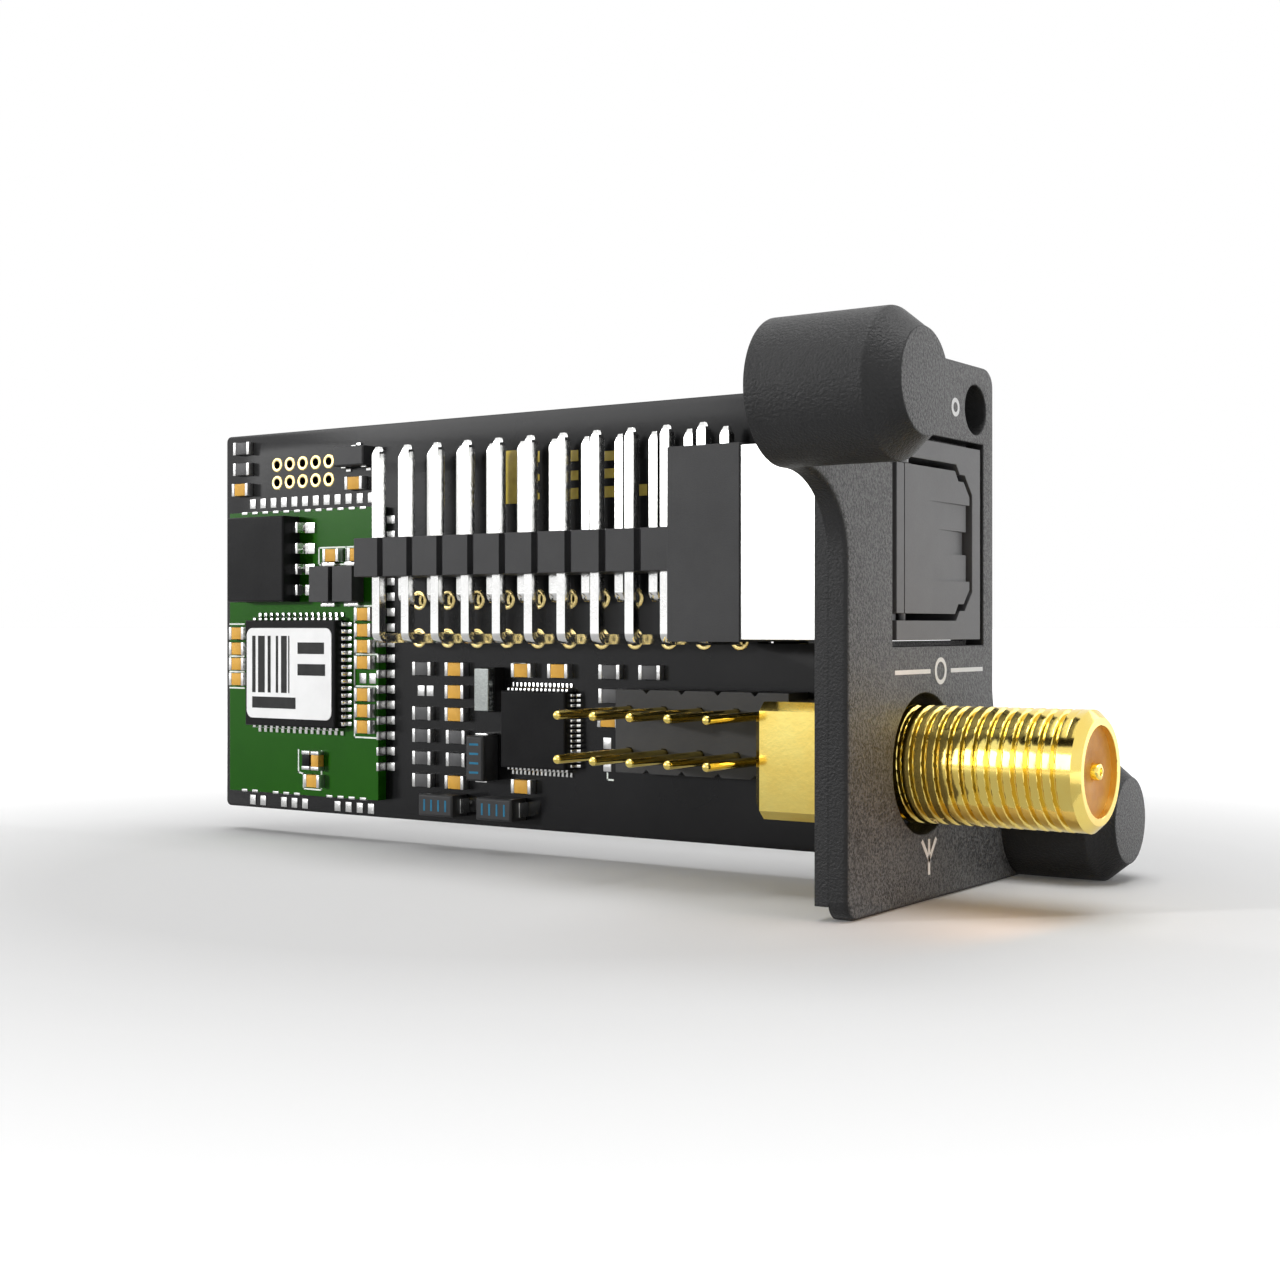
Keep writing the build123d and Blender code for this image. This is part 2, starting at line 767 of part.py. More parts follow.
def make_service_block():
    """The small header's block, notched like the long one and cut short at both ends."""
    outline = header_outline(service_xs, service_upper_z - pitch / 2, small_round(service_pin_r + pin_play))
    middle_x = (service_xs[0] + service_xs[-1]) / 2
    length = service_xs[0] - service_xs[-1] + 2 * service_block_end
    outline &= Pos(middle_x, service_upper_z - pitch / 2) * Rectangle(length, 2 * pitch)
    return carry_y(outline, board_face_y - service_block_thick, board_face_y)


def make_service_pins():
    """Round straight pins with bevelled front ends."""
    tip_y = board_face_y - service_reach
    pins = []
    for x in service_xs:
        for z in service_zs:
            pin = carry_y(Pos(x, z) * small_round(service_pin_r), tip_y, tail_end_y)
            pins.append(chamfer(pin.faces().sort_by(Axis.Y)[0].edges(), service_pin_bevel))
    return pins


# Radio board

def make_radio_board():
    return block(radio_left_x, radio_edge_x, radio_face_y, board_face_y, radio_low_z, radio_high_z)


def pad_places():
    """Each edge pad's place and outward direction: x, z, direction x, direction z."""
    last_x = radio_edge_x - edge_pad_margin
    first_z = radio_high_z - side_pad_margin
    top = [(last_x - i * edge_pitch, radio_high_z, 0, 1) for i in range(top_pad_count)]
    side = [(radio_edge_x, first_z - i * edge_pitch, 1, 0) for i in range(side_pad_count)]
    low = [(last_x - i * edge_pitch, radio_low_z, 0, -1) for i in bottom_pad_places]
    return top + side + low


def make_edge_pads():
    """Plating that wraps from the radio board's face over its edge."""
    inner_y = radio_face_y
    profile = face_of((-edge_pad_face, inner_y - edge_skin), (edge_skin, inner_y - edge_skin),
                      (edge_skin, board_face_y), (0, board_face_y), (0, inner_y), (-edge_pad_face, inner_y))
    pad = Pos(0, 0, -edge_pad_width / 2) * extrude(profile, amount=edge_pad_width)
    turns = {(0, 1): turn_up, (1, 0): 0, (0, -1): turn_down}
    return [Pos(x, 0, z) * Rot(0, turns[dx, dz], 0) * pad for x, z, dx, dz in pad_places()]


def make_land_pads():
    """Flat lands on the main board beside the radio board's edge pads."""
    pads = []
    for x, z, dx, dz in pad_places():
        gap = side_land_gap if dx else land_gap
        out = gap + land_length / 2
        width = land_length if dx else edge_pad_width
        height = edge_pad_width if dx else land_length
        pads.append(on_board(x + dx * out, z + dz * out, width, height, edge_skin))
    return pads


# Chips

def chip_body(x, z, width, height, thick, face_y):
    """A moulded body with its front edges chamfered."""
    body = on_board(x, z, width, height, thick, face_y, chip_stand)
    return chamfer(body.faces().sort_by(Axis.Y)[0].edges(), chip_bevel)


def wing_lead(width, out, thick, face_y, bends):
    """A lead along +x from half way up the body's side down to the board, with up to two bends."""
    shoulder_y = face_y - chip_stand - thick / 2
    foot_y = face_y - lead_thick
    line = [(0, shoulder_y), (out * lead_shoulder_share, shoulder_y), (out * lead_heel_share, foot_y),
            (out, foot_y)]
    line = line[:1] + line[3 - bends:]
    profile = face_of(*line, *[(x, y + lead_thick) for x, y in reversed(line)])
    return Pos(0, 0, -width / 2) * extrude(profile, amount=width)


def lead_row(lead, x, z, turn, count, step):
    """A row of leads along one side of a chip, turned to point outwards."""
    along_x = turn in (turn_up, turn_down)
    leads = []
    for i in range(count):
        shift = (i - (count - 1) / 2) * step
        place = Pos(x + shift, 0, z) if along_x else Pos(x, 0, z + shift)
        leads.append(place * Rot(0, turn, 0) * lead)
    return leads


def chip_leads(x, z, width, height, lead, counts, steps):
    """Leads on the chip's sides and on its top and bottom, where their counts aren't zero."""
    leads = lead_row(lead, x + width / 2, z, 0, counts[0], steps[0])
    leads += lead_row(lead, x - width / 2, z, turn_back, counts[0], steps[0])
    leads += lead_row(lead, x, z + height / 2, turn_up, counts[1], steps[1])
    leads += lead_row(lead, x, z - height / 2, turn_down, counts[1], steps[1])
    return leads


def make_radio_chip():
    return chip_body(radio_chip_x, radio_chip_z, radio_chip_width, radio_chip_height,
                     radio_chip_thick, radio_face_y)


def make_radio_chip_leads():
    lead = wing_lead(radio_lead_width, radio_lead_out, radio_chip_thick, radio_face_y, bends=0)
    return chip_leads(radio_chip_x, radio_chip_z, radio_chip_width, radio_chip_height, lead,
                      (radio_lead_count, radio_lead_count), (radio_side_pitch, radio_top_pitch))


def make_radio_chip_label():
    """A rounded paper label stuck on the radio chip."""
    outline = Pos(radio_chip_x, radio_chip_z) * RectangleRounded(label_width, label_height, label_corner_r)
    near_y = radio_face_y - chip_stand - radio_chip_thick
    return carry_y(outline, near_y - label_thick, near_y)


def make_audio_chip():
    return chip_body(audio_chip_x, audio_chip_z, audio_chip_width, audio_chip_height,
                     audio_chip_thick, board_face_y)


def make_audio_chip_leads():
    lead = wing_lead(audio_lead_width, audio_lead_out, audio_chip_thick, board_face_y, bends=0)
    return chip_leads(audio_chip_x, audio_chip_z, audio_chip_width, audio_chip_height, lead,
                      (audio_lead_count, audio_lead_count), (audio_side_pitch, audio_top_pitch))


def make_memory_chip():
    return chip_body(memory_chip_x, memory_chip_z, memory_chip_width, memory_chip_height,
                     memory_chip_thick, radio_face_y)


def make_memory_chip_leads():
    lead = wing_lead(memory_lead_width, memory_lead_out, memory_chip_thick, radio_face_y, bends=2)
    return chip_leads(memory_chip_x, memory_chip_z, memory_chip_width, memory_chip_height, lead,
                      (memory_lead_count, 0), (memory_lead_pitch, 0))


def make_regulator():
    return chip_body(regulator_x, regulator_z, regulator_width, regulator_height,
                     regulator_thick, board_face_y)


def make_regulator_leads():
    """Two short leads below the small black part and one above."""
    lead = wing_lead(regulator_lead_width, regulator_lead_out, regulator_thick, board_face_y, bends=1)
    pair = lead_row(lead, regulator_x, regulator_z - regulator_height / 2, turn_down, 2,
                    2 * regulator_lead_pitch)
    single = lead_row(lead, regulator_x, regulator_z + regulator_height / 2, turn_up, 1, 0)
    return pair + single


# Larger block parts

def make_coil_blocks():
    return [on_board(x, coil_z, coil_width, coil_height, coil_thick, radio_face_y, part_skin)
            for x in coil_xs]


def make_coil_ends():
    """Flat metal ends that hold each coil block at its top and bottom edge."""
    ends = []
    for x in coil_xs:
        for side in (-1, 1):
            z = coil_z + side * (coil_height + coil_end) / 2
            ends.append(on_board(x, z, coil_end_width, coil_end, coil_end_thick, radio_face_y))
    return ends


def make_crystal_base():
    return on_board(crystal_x, crystal_z, crystal_width, crystal_height, crystal_base_thick)


def make_crystal_lid():
    """The metal lid on the crystal's ceramic base."""
    inset = 2 * crystal_lid_inset
    return on_board(crystal_x, crystal_z, crystal_width - inset, crystal_height - inset,
                    crystal_lid_thick, board_face_y, crystal_base_thick)


def power_size(upright, long_size, short_size):
    return (short_size, long_size) if upright else (long_size, short_size)


def make_power_capacitors():
    """Moulded blocks with bevelled front edges."""
    blocks = []
    for x, z, upright in power_places:
        width, height = power_size(upright, power_length, power_width)
        body = on_board(x, z, width, height, power_thick, board_face_y, part_skin)
        blocks.append(chamfer(body.faces().sort_by(Axis.Y)[0].edges(), power_bevel))
    return blocks


def make_power_capacitor_tabs():
    """Metal tabs on the two ends of each moulded block."""
    tabs = []
    for x, z, upright in power_places:
        out = (power_length + power_tab_length) / 2
        width, height = power_size(upright, power_tab_length, power_tab_width)
        for side in (-1, 1):
            shift_x = 0 if upright else side * out
            shift_z = side * out if upright else 0
            tabs.append(on_board(x + shift_x, z + shift_z, width, height, power_tab_height))
    return tabs


# Small chip parts

def chip_part(x, z, length, width, thick, upright, face_y):
    """A body and two slightly larger metal ends: returns the body and the two ends."""
    inner = length - 2 * part_end
    body_size = power_size(upright, inner, width)
    end_size = power_size(upright, part_end, width + 2 * part_skin)
    body = on_board(x, z, *body_size, thick, face_y, part_skin)
    ends = []
    for side in (-1, 1):
        out = side * (inner + part_end) / 2
        shift_x = 0 if upright else out
        shift_z = out if upright else 0
        ends.append(on_board(x + shift_x, z + shift_z, *end_size, thick + 2 * part_skin, face_y))
    return body, ends


def row_places(columns, first_z, step):
    """Places given as each column's x and the numbers of its rows."""
    return [(x, first_z - i * step) for x, rows in columns for i in rows]


def out_places(columns):
    """Places in the columns that are measured from the small header's end."""
    return row_places([(service_end_x - out, rows) for out, rows in columns], row_z, row_pitch)


def parts_of(places, length, width, thick, upright, face_y):
    """The bodies and the ends of several like parts."""
    made = [chip_part(x, z, length, width, thick, upright, face_y) for x, z in places]
    return [body for body, ends in made], [end for body, ends in made for end in ends]


def make_board_parts():
    """The main board's small capacitors and resistors."""
    rear_x = radio_edge_x - rear_column_in
    near_x = radio_edge_x - near_column_in
    capacitors = out_places(capacitor_rows)
    capacitors += row_places([(rear_x, (2,)), (near_x, (2,))], top_row_z, row_pitch)
    resistors = out_places(resistor_rows)
    resistors += row_places([(rear_x, (0, 1))], top_row_z, row_pitch)
    capacitor_bodies, capacitor_ends = parts_of(capacitors, part_length, part_width, capacitor_thick,
                                                False, board_face_y)
    resistor_bodies, resistor_ends = parts_of(resistors, part_length, part_width, resistor_thick,
                                              False, board_face_y)
    return capacitor_bodies, capacitor_ends, resistor_bodies, resistor_ends


def make_radio_parts():
    """The radio board's small capacitors and its one resistor."""
    right_x = radio_edge_x - radio_right_in
    left_x = radio_edge_x - radio_left_in
    top_x = radio_edge_x - radio_top_in
    level = row_places([(right_x, radio_right_rows)], radio_right_z, radio_row_pitch)
    level += row_places([(left_x, radio_left_rows)], radio_left_z, radio_row_pitch)
    level += [(top_x, radio_top_z), (top_x - radio_top_step, radio_top_z)]
    level.append((radio_edge_x - low_capacitor_in, low_capacitor_z))
    upright_x = radio_edge_x - upright_in
    bodies, ends = parts_of(level, radio_part_length, part_width, capacitor_thick, False, radio_face_y)
    more_bodies, more_ends = parts_of([(upright_x, upright_z)], upright_length, upright_width,
                                      capacitor_thick, True, radio_face_y)
    resistor_bodies, resistor_ends = parts_of([(upright_x - upright_step, upright_z)], upright_length,
                                              upright_width, resistor_thick, True, radio_face_y)
    return bodies + more_bodies, ends + more_ends, resistor_bodies, resistor_ends


def make_spare_pads():
    """Bare solder pads without a part, in pairs on the main board, and one pair on the radio board."""
    radio_x = radio_edge_x - radio_right_in
    radio_step = radio_part_length - spare_pad_width
    pairs = [(service_end_x - column_1_out, row_z - spare_row * row_pitch, spare_step_x, 0, board_face_y),
             (service_end_x - spare_near_out, spare_near_z, 0, spare_step_z, board_face_y),
             (radio_x, radio_right_z - radio_spare_row * radio_row_pitch, radio_step, 0, radio_face_y)]
    return [on_board(x + side * step_x / 2, z + side * step_z / 2, spare_pad_width, spare_pad_height,
                     spare_pad_thick, face_y)
            for x, z, step_x, step_z, face_y in pairs for side in (-1, 1)]


board_capacitors, board_capacitor_ends, board_resistors, board_resistor_ends = make_board_parts()
radio_capacitors, radio_capacitor_ends, radio_resistor, radio_resistor_ends = make_radio_parts()

nodes = {
    "front_plate": make_front_plate(),
    "main_board": make_main_board(),
    "radio_board": make_radio_board(),
    "socket_shell": make_socket_shell(),
    "socket_rear_housing": make_socket_rear_housing(),
    "socket_shutter": make_socket_shutter(),
    "shutter_spring": make_shutter_spring(),
    "light_emitter": make_light_emitter(),
    "emitter_leads": make_emitter_leads(),
    "status_light": make_status_light(),
    "antenna_jack": make_antenna_jack(),
    "antenna_insulator": make_antenna_insulator(),
    "antenna_contact": make_antenna_contact(),
    "header_block": make_header_block(),
    "header_outer_pins": pin_row(header_outer_y, header_lower_hole_z),
    "header_inner_pins": pin_row(header_inner_y, header_upper_hole_z),
    "header_rings": make_header_rings(),
    "service_block": make_service_block(),
    "service_pins": make_service_pins(),
    "radio_chip": make_radio_chip(),
    "radio_chip_leads": make_radio_chip_leads(),
    "radio_chip_label": make_radio_chip_label(),
    "memory_chip": make_memory_chip(),
    "memory_chip_leads": make_memory_chip_leads(),
    "audio_chip": make_audio_chip(),
    "audio_chip_leads": make_audio_chip_leads(),
    "regulator": make_regulator(),
    "regulator_leads": make_regulator_leads(),
    "coil_blocks": make_coil_blocks(),
    "coil_ends": make_coil_ends(),
    "crystal_base": make_crystal_base(),
    "crystal_lid": make_crystal_lid(),
    "power_capacitors": make_power_capacitors(),
    "power_capacitor_tabs": make_power_capacitor_tabs(),
    "board_capacitors": board_capacitors,
    "board_capacitor_ends": board_capacitor_ends,
    "board_resistors": board_resistors,
    "board_resistor_ends": board_resistor_ends,
    "radio_capacitors": radio_capacitors,
    "radio_capacitor_ends": radio_capacitor_ends,
    "radio_resistor": radio_resistor,
    "radio_resistor_ends": radio_resistor_ends,
    "edge_pads": make_edge_pads(),
    "land_pads": make_land_pads(),
    "spare_pads": make_spare_pads(),
    "test_rings": make_test_rings(),
}

to_stand = Pos(-(board_rear_x + jack_reach) / 2, 0, plate_height / 2)

os.makedirs("parts", exist_ok=True)
for name, made in nodes.items():
    pieces = made if isinstance(made, list) else [made]
    solids = [to_stand * solid for piece in pieces for solid in piece.solids()]
    whole = solids[0] if len(solids) == 1 else Compound(children=solids)
    export_step(whole, f"parts/{name}.step")
    print(name, len(solids))
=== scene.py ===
import math

import bmesh
import bpy
import numpy as np
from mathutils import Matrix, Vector
from mathutils.geometry import tessellate_polygon


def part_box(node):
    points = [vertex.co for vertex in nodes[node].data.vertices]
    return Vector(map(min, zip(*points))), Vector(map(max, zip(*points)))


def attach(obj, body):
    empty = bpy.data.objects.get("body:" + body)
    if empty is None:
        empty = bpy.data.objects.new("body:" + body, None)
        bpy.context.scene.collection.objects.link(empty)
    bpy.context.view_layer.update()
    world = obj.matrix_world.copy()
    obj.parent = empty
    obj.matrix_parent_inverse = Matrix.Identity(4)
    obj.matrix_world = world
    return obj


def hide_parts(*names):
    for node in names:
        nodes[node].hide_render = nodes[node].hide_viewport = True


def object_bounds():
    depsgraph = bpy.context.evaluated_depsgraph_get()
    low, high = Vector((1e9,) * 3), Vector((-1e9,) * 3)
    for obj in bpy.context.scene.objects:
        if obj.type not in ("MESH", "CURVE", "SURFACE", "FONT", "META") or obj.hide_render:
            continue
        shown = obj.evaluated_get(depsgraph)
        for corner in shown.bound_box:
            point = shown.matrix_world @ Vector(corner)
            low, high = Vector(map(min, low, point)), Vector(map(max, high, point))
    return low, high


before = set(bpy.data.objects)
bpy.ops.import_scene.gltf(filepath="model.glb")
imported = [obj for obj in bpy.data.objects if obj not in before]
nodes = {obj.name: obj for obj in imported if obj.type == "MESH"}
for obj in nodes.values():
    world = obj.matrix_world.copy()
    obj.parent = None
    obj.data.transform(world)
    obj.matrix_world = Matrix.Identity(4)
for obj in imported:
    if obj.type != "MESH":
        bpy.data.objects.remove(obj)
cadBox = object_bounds()
scene = bpy.context.scene
scene.view_settings.view_transform = "Standard"

# Shapes are worked out in millimetres about the front plate's middle: x out of its face, z up
mm = 0.001
plateLow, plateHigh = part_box("front_plate")
panelOrigin = np.array([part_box("socket_shell")[1].x, 0.0, (plateLow.z + plateHigh.z) / 2])
# Points nearer to each other than this, in metres, are merged: on CAD copies and on new meshes
cadWeld, newWeld = 1e-6, 1e-7
levelWithin = 1.5  # degrees between neighbouring faces that a CAD copy joins into one
print("frame loaded:", len(nodes), "nodes")


def panelBox(node):
    # A node's low and high corners in millimetres from the plate's middle
    return [(np.array(corner) - panelOrigin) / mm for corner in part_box(node)]


# Shapes

def ringFaces(rings, around):
    # Quads between neighbours in a stack of rings, each closed round and of as many points as around
    low = np.arange(rings - 1)[:, None] * around
    j = np.arange(around)[None, :]
    j2 = (j + 1) % around
    return np.stack([low + j, low + j2, low + around + j2, low + around + j], -1).reshape(-1, 4)


def arc(centre, radius, start, stop, count):
    # Points on a circle from one angle to another, in degrees
    t = np.radians(np.linspace(start, stop, count))
    return np.stack([centre[0] + radius * np.cos(t), centre[1] + radius * np.sin(t)], -1)


def roundHole(a, b, radius, count=48):
    # A circle run through clockwise, as slab wants its holes
    return arc((a, b), radius, 360, 0, count + 1)[:-1]


def boxes(lows, highs):
    # Many closed boxes at once, from arrays of their low and high corners
    lows, highs = np.atleast_2d(lows).astype(float), np.atleast_2d(highs).astype(float)
    pick = np.array([[i, j, k] for i in (0, 1) for j in (0, 1) for k in (0, 1)])
    points = np.where(pick[None], highs[:, None], lows[:, None]).reshape(-1, 3)
    one = np.array([[0, 1, 3, 2], [4, 6, 7, 5], [0, 4, 5, 1], [2, 3, 7, 6], [0, 2, 6, 4], [1, 5, 7, 3]])
    faces = (one[None] + 8 * np.arange(len(lows))[:, None, None]).reshape(-1, 4)
    return points, faces


def turned(profile, axis, place, around):
    # A profile of (along, radius) points turned about an axis; radius 0 closes an end to a pole
    profile = np.asarray(profile, float)
    t = np.linspace(0, 2 * np.pi, around, endpoint=False)
    points = np.zeros((len(profile), around, 3))
    side, up = [i for i in range(3) if i != axis]
    points[..., axis] = profile[:, :1]
    points[..., side] = profile[:, 1:] * np.cos(t)
    points[..., up] = profile[:, 1:] * np.sin(t)
    return (points + np.asarray(place, float)).reshape(-1, 3), ringFaces(len(profile), around)


def insetLoop(loop, amount):
    # Each point moves left of the loop's way by amount, along the mean of its two sides' normals, and
    # by up to twice as much at a corner
    ahead = np.roll(loop, -1, 0) - loop
    ahead /= np.linalg.norm(ahead, axis=1, keepdims=True)
    behind = np.roll(ahead, 1, 0)
    normal = np.stack([-(ahead[:, 1] + behind[:, 1]), ahead[:, 0] + behind[:, 0]], -1)
    normal /= np.linalg.norm(normal, axis=1, keepdims=True)
    side = np.stack([-ahead[:, 1], ahead[:, 0]], -1)
    return loop + normal * (amount / np.clip((normal * side).sum(1, keepdims=True), 0.5, 1))


def slab(outer, holes, back, front, rim, holeRim, depthAxis=0, backRim=0.0, steps=5):
    # A sheet with holes: each loop climbs from back to front and rounds over its rims as quarter
    # circles, and flat faces with the holes left out close the two sides
    way = 1 if front > back else -1
    t = np.linspace(0, np.pi / 2, steps)
    first, last, shapes = [], [], []
    for loop, frontR, backR in [(outer, rim, backRim)] + [(hole, holeRim, 0.0) for hole in holes]:
        profile = [(0.0, back)]
        if backR:
            profile = [(backR * (1 - np.sin(a)), back + way * backR * (1 - np.cos(a))) for a in t]
        profile += [(frontR * (1 - np.cos(a)), front - way * frontR * (1 - np.sin(a))) for a in t]
        rings = [np.insert(insetLoop(loop, inset), depthAxis, depth, axis=1) for inset, depth in profile]
        shapes.append((np.concatenate(rings), ringFaces(len(rings), len(loop))))
        first.append(rings[0])
        last.append(rings[-1])
    for loops in (first, last):
        flat = [[Vector((*np.delete(p, depthAxis), 0)) for p in ring] for ring in loops]
        shapes.append((np.concatenate(loops), tessellate_polygon(flat)))
    return shapes


def islands(node):
    # Low and high corners, in panel millimetres, of each separate solid of a CAD node
    shape = bmesh.new()
    shape.from_mesh(nodes[node].data)
    bmesh.ops.remove_doubles(shape, verts=shape.verts, dist=cadWeld)
    shape.verts.ensure_lookup_table()
    group = np.arange(len(shape.verts))
    pairs = np.array([[v.index for v in edge.verts] for edge in shape.edges])
    points = (np.array([v.co for v in shape.verts]) - panelOrigin) / mm
    shape.free()
    while True:  # spreads the lowest number along the edges until nothing changes
        least = np.minimum(group[pairs[:, 0]], group[pairs[:, 1]])
        new = group.copy()
        np.minimum.at(new, pairs[:, 0], least)
        np.minimum.at(new, pairs[:, 1], least)
        new = new[new]
        if (new == group).all():
            break
        group = new
    names = np.unique(group)
    lows = np.array([points[group == n].min(0) for n in names])
    highs = np.array([points[group == n].max(0) for n in names])
    return lows, highs


# Putting meshes into the scene

def dress(obj, stands, body):
    # Rides on its body and hides the CAD nodes it stands for
    scene.collection.objects.link(obj)
    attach(obj, body)
    if stands:
        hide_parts(*stands)


def finishEdges(obj, edge, crease):
    # Smooth shading with creases, or with the edges rounded by a bevel of that width
    obj.data.shade_smooth()
    if edge:
        bevel = obj.modifiers.new("roundedEdges", "BEVEL")
        bevel.width = edge * mm
        bevel.segments = 2
        bevel.limit_method = "ANGLE"
        bevel.angle_limit = math.radians(crease)
        level = obj.modifiers.new("evenNormals", "WEIGHTED_NORMAL")
        level.weight = 80
    else:
        obj.data.set_sharp_from_angle(angle=math.radians(crease))


def putMesh(name, shapes, finish, stands=(), crease=35, edge=0.0):
    # shapes is a list of (points, faces) in panel millimetres, and edge rounds the sharp edges by that
    # much. The piece rides on the root body
    points, faces, start = [], [], 0
    for shapePoints, shapeFaces in shapes:
        points.append(shapePoints)
        faces += [[int(v) + start for v in face] for face in shapeFaces]
        start += len(shapePoints)
    mesh = bpy.data.meshes.new(name)
    mesh.from_pydata((np.concatenate(points) * mm + panelOrigin).tolist(), [], faces)
    shape = bmesh.new()
    shape.from_mesh(mesh)
    bmesh.ops.remove_doubles(shape, verts=shape.verts, dist=newWeld)
    bmesh.ops.recalc_face_normals(shape, faces=shape.faces)
    shape.to_mesh(mesh)
    shape.free()
    mesh.materials.append(finishes[finish])
    obj = bpy.data.objects.new(name, mesh)
    finishEdges(obj, edge, crease)
    dress(obj, stands, "root")


def softCopy(name, node, finish, edge=0.03, body="root", second=None, where=None, cutX=None):
    # A CAD node's own shape, merged and with its sharp edges rounded. The second finish goes on the
    # faces for which where, given their middles and normals in panel millimetres, is true, and cutX
    # first divides the faces there so that the finishes can part
    shape = bmesh.new()
    shape.from_mesh(nodes[node].data)
    bmesh.ops.remove_doubles(shape, verts=shape.verts, dist=cadWeld)
    bmesh.ops.dissolve_limit(shape, angle_limit=math.radians(levelWithin), verts=shape.verts,
                             edges=shape.edges)
    if cutX is not None:
        everything = list(shape.verts) + list(shape.edges) + list(shape.faces)
        bmesh.ops.bisect_plane(shape, geom=everything, plane_co=(cutX * mm + panelOrigin[0], 0, 0),
                               plane_no=(1, 0, 0))
    mesh = bpy.data.meshes.new(name)
    shape.to_mesh(mesh)
    shape.free()
    mesh.materials.clear()
    mesh.materials.append(finishes[finish])
    if second:
        mesh.materials.append(finishes[second])
        middles = (np.array([face.center for face in mesh.polygons]) - panelOrigin) / mm
        normals = np.array([face.normal for face in mesh.polygons])
        mesh.polygons.foreach_set("material_index", where(middles, normals).astype(np.int32))
    obj = bpy.data.objects.new(name, mesh)
    finishEdges(obj, edge, crease=25)
    dress(obj, (node,), body)


# Finishes. Sizes of grain are in millimetres, and patterns read Object coordinates

def addNode(tree, kind, **values):
    # A node with its settings, and its inputs where the name is one
    node = tree.nodes.new(kind)
    for key, value in values.items():
        if key in node.inputs:
            node.inputs[key].default_value = value
        else:
            setattr(node, key, value)
    return node


def ranged(tree, source, fromMin, fromMax, toMin, toMax):
    # Carries a value from one range to another in a straight line, held at both ends
    node = addNode(tree, "ShaderNodeMapRange")
    for key, value in (("From Min", fromMin), ("From Max", fromMax), ("To Min", toMin), ("To Max", toMax)):
        node.inputs[key].default_value = value
    tree.links.new(source, node.inputs["Value"])
    return node.outputs["Result"]


def mixed(tree, factor, first, second):
    # Mixes two colours, each a colour value or another node's output
    node = addNode(tree, "ShaderNodeMix", data_type="RGBA")
    tree.links.new(factor, node.inputs["Factor"])
    for key, value in (("A", first), ("B", second)):
        if isinstance(value, tuple):
            node.inputs[key].default_value = (*value, 1)
        else:
            tree.links.new(value, node.inputs[key])
    return node.outputs["Result"]


# Where each effect of grained starts and is full, as values of its noise, or of the normal's x for turned,
# which picks the faces that get the painted lit tone and painted glints
grainSpans = dict(tones=(0.3, 0.7), speckle=(0.4, 0.62), turned=(0.8, 0.97), rough=(0.25, 0.75))


def grained(name, look):
    # Colour wanders between two tones over broad patches, and fine grain moves roughness and height.
    # Where a look asks for it, the faces turned along x carry a paler tone and a paler speckle: painted light
    # and painted glints that stand for the light falling on those faces
    material = bpy.data.materials.new(name)
    material.use_nodes = True
    tree = material.node_tree
    shader = tree.nodes["Principled BSDF"]
    texture = addNode(tree, "ShaderNodeTexCoord")
    place = texture.outputs["Object"]
    fine = addNode(tree, "ShaderNodeTexNoise", Scale=1 / (look["grain"] * mm), Detail=3.0, Roughness=0.6)
    broad = addNode(tree, "ShaderNodeTexNoise", Scale=1 / (look["patch"] * mm), Detail=4.0, Roughness=0.55)
    tree.links.new(place, fine.inputs["Vector"])
    tree.links.new(place, broad.inputs["Vector"])
    tones = ranged(tree, broad.outputs["Fac"], *grainSpans["tones"], 0, 1)
    colour = mixed(tree, tones, look["dark"], look["light"])
    # Painted light: faces turned along x get a paler tone and pale specks that stand for light falling on
    # them and glinting off the grain
    if "paintedLitFace" in look:
        paintedGlintMask = ranged(tree, fine.outputs["Fac"], *grainSpans["speckle"], 0, 1)
        grain = mixed(tree, paintedGlintMask, look["paintedLitFace"], look["paintedGlint"])
        split = addNode(tree, "ShaderNodeSeparateXYZ")
        tree.links.new(texture.outputs["Normal"], split.inputs[0])
        colour = mixed(tree, ranged(tree, split.outputs["X"], *grainSpans["turned"], 0, 1), colour, grain)
    tree.links.new(colour, shader.inputs["Base Color"])
    rough = ranged(tree, fine.outputs["Fac"], *grainSpans["rough"], *look["rough"])
    tree.links.new(rough, shader.inputs["Roughness"])
    bump = addNode(tree, "ShaderNodeBump", Strength=look["bump"], Distance=look["grain"] * mm)
    tree.links.new(fine.outputs["Fac"], bump.inputs["Height"])
    tree.links.new(bump.outputs["Normal"], shader.inputs["Normal"])
    shader.inputs["Metallic"].default_value = look.get("metal", 0.0)
    shader.inputs["Specular IOR Level"].default_value = look.get("gloss", 0.5)
    return material


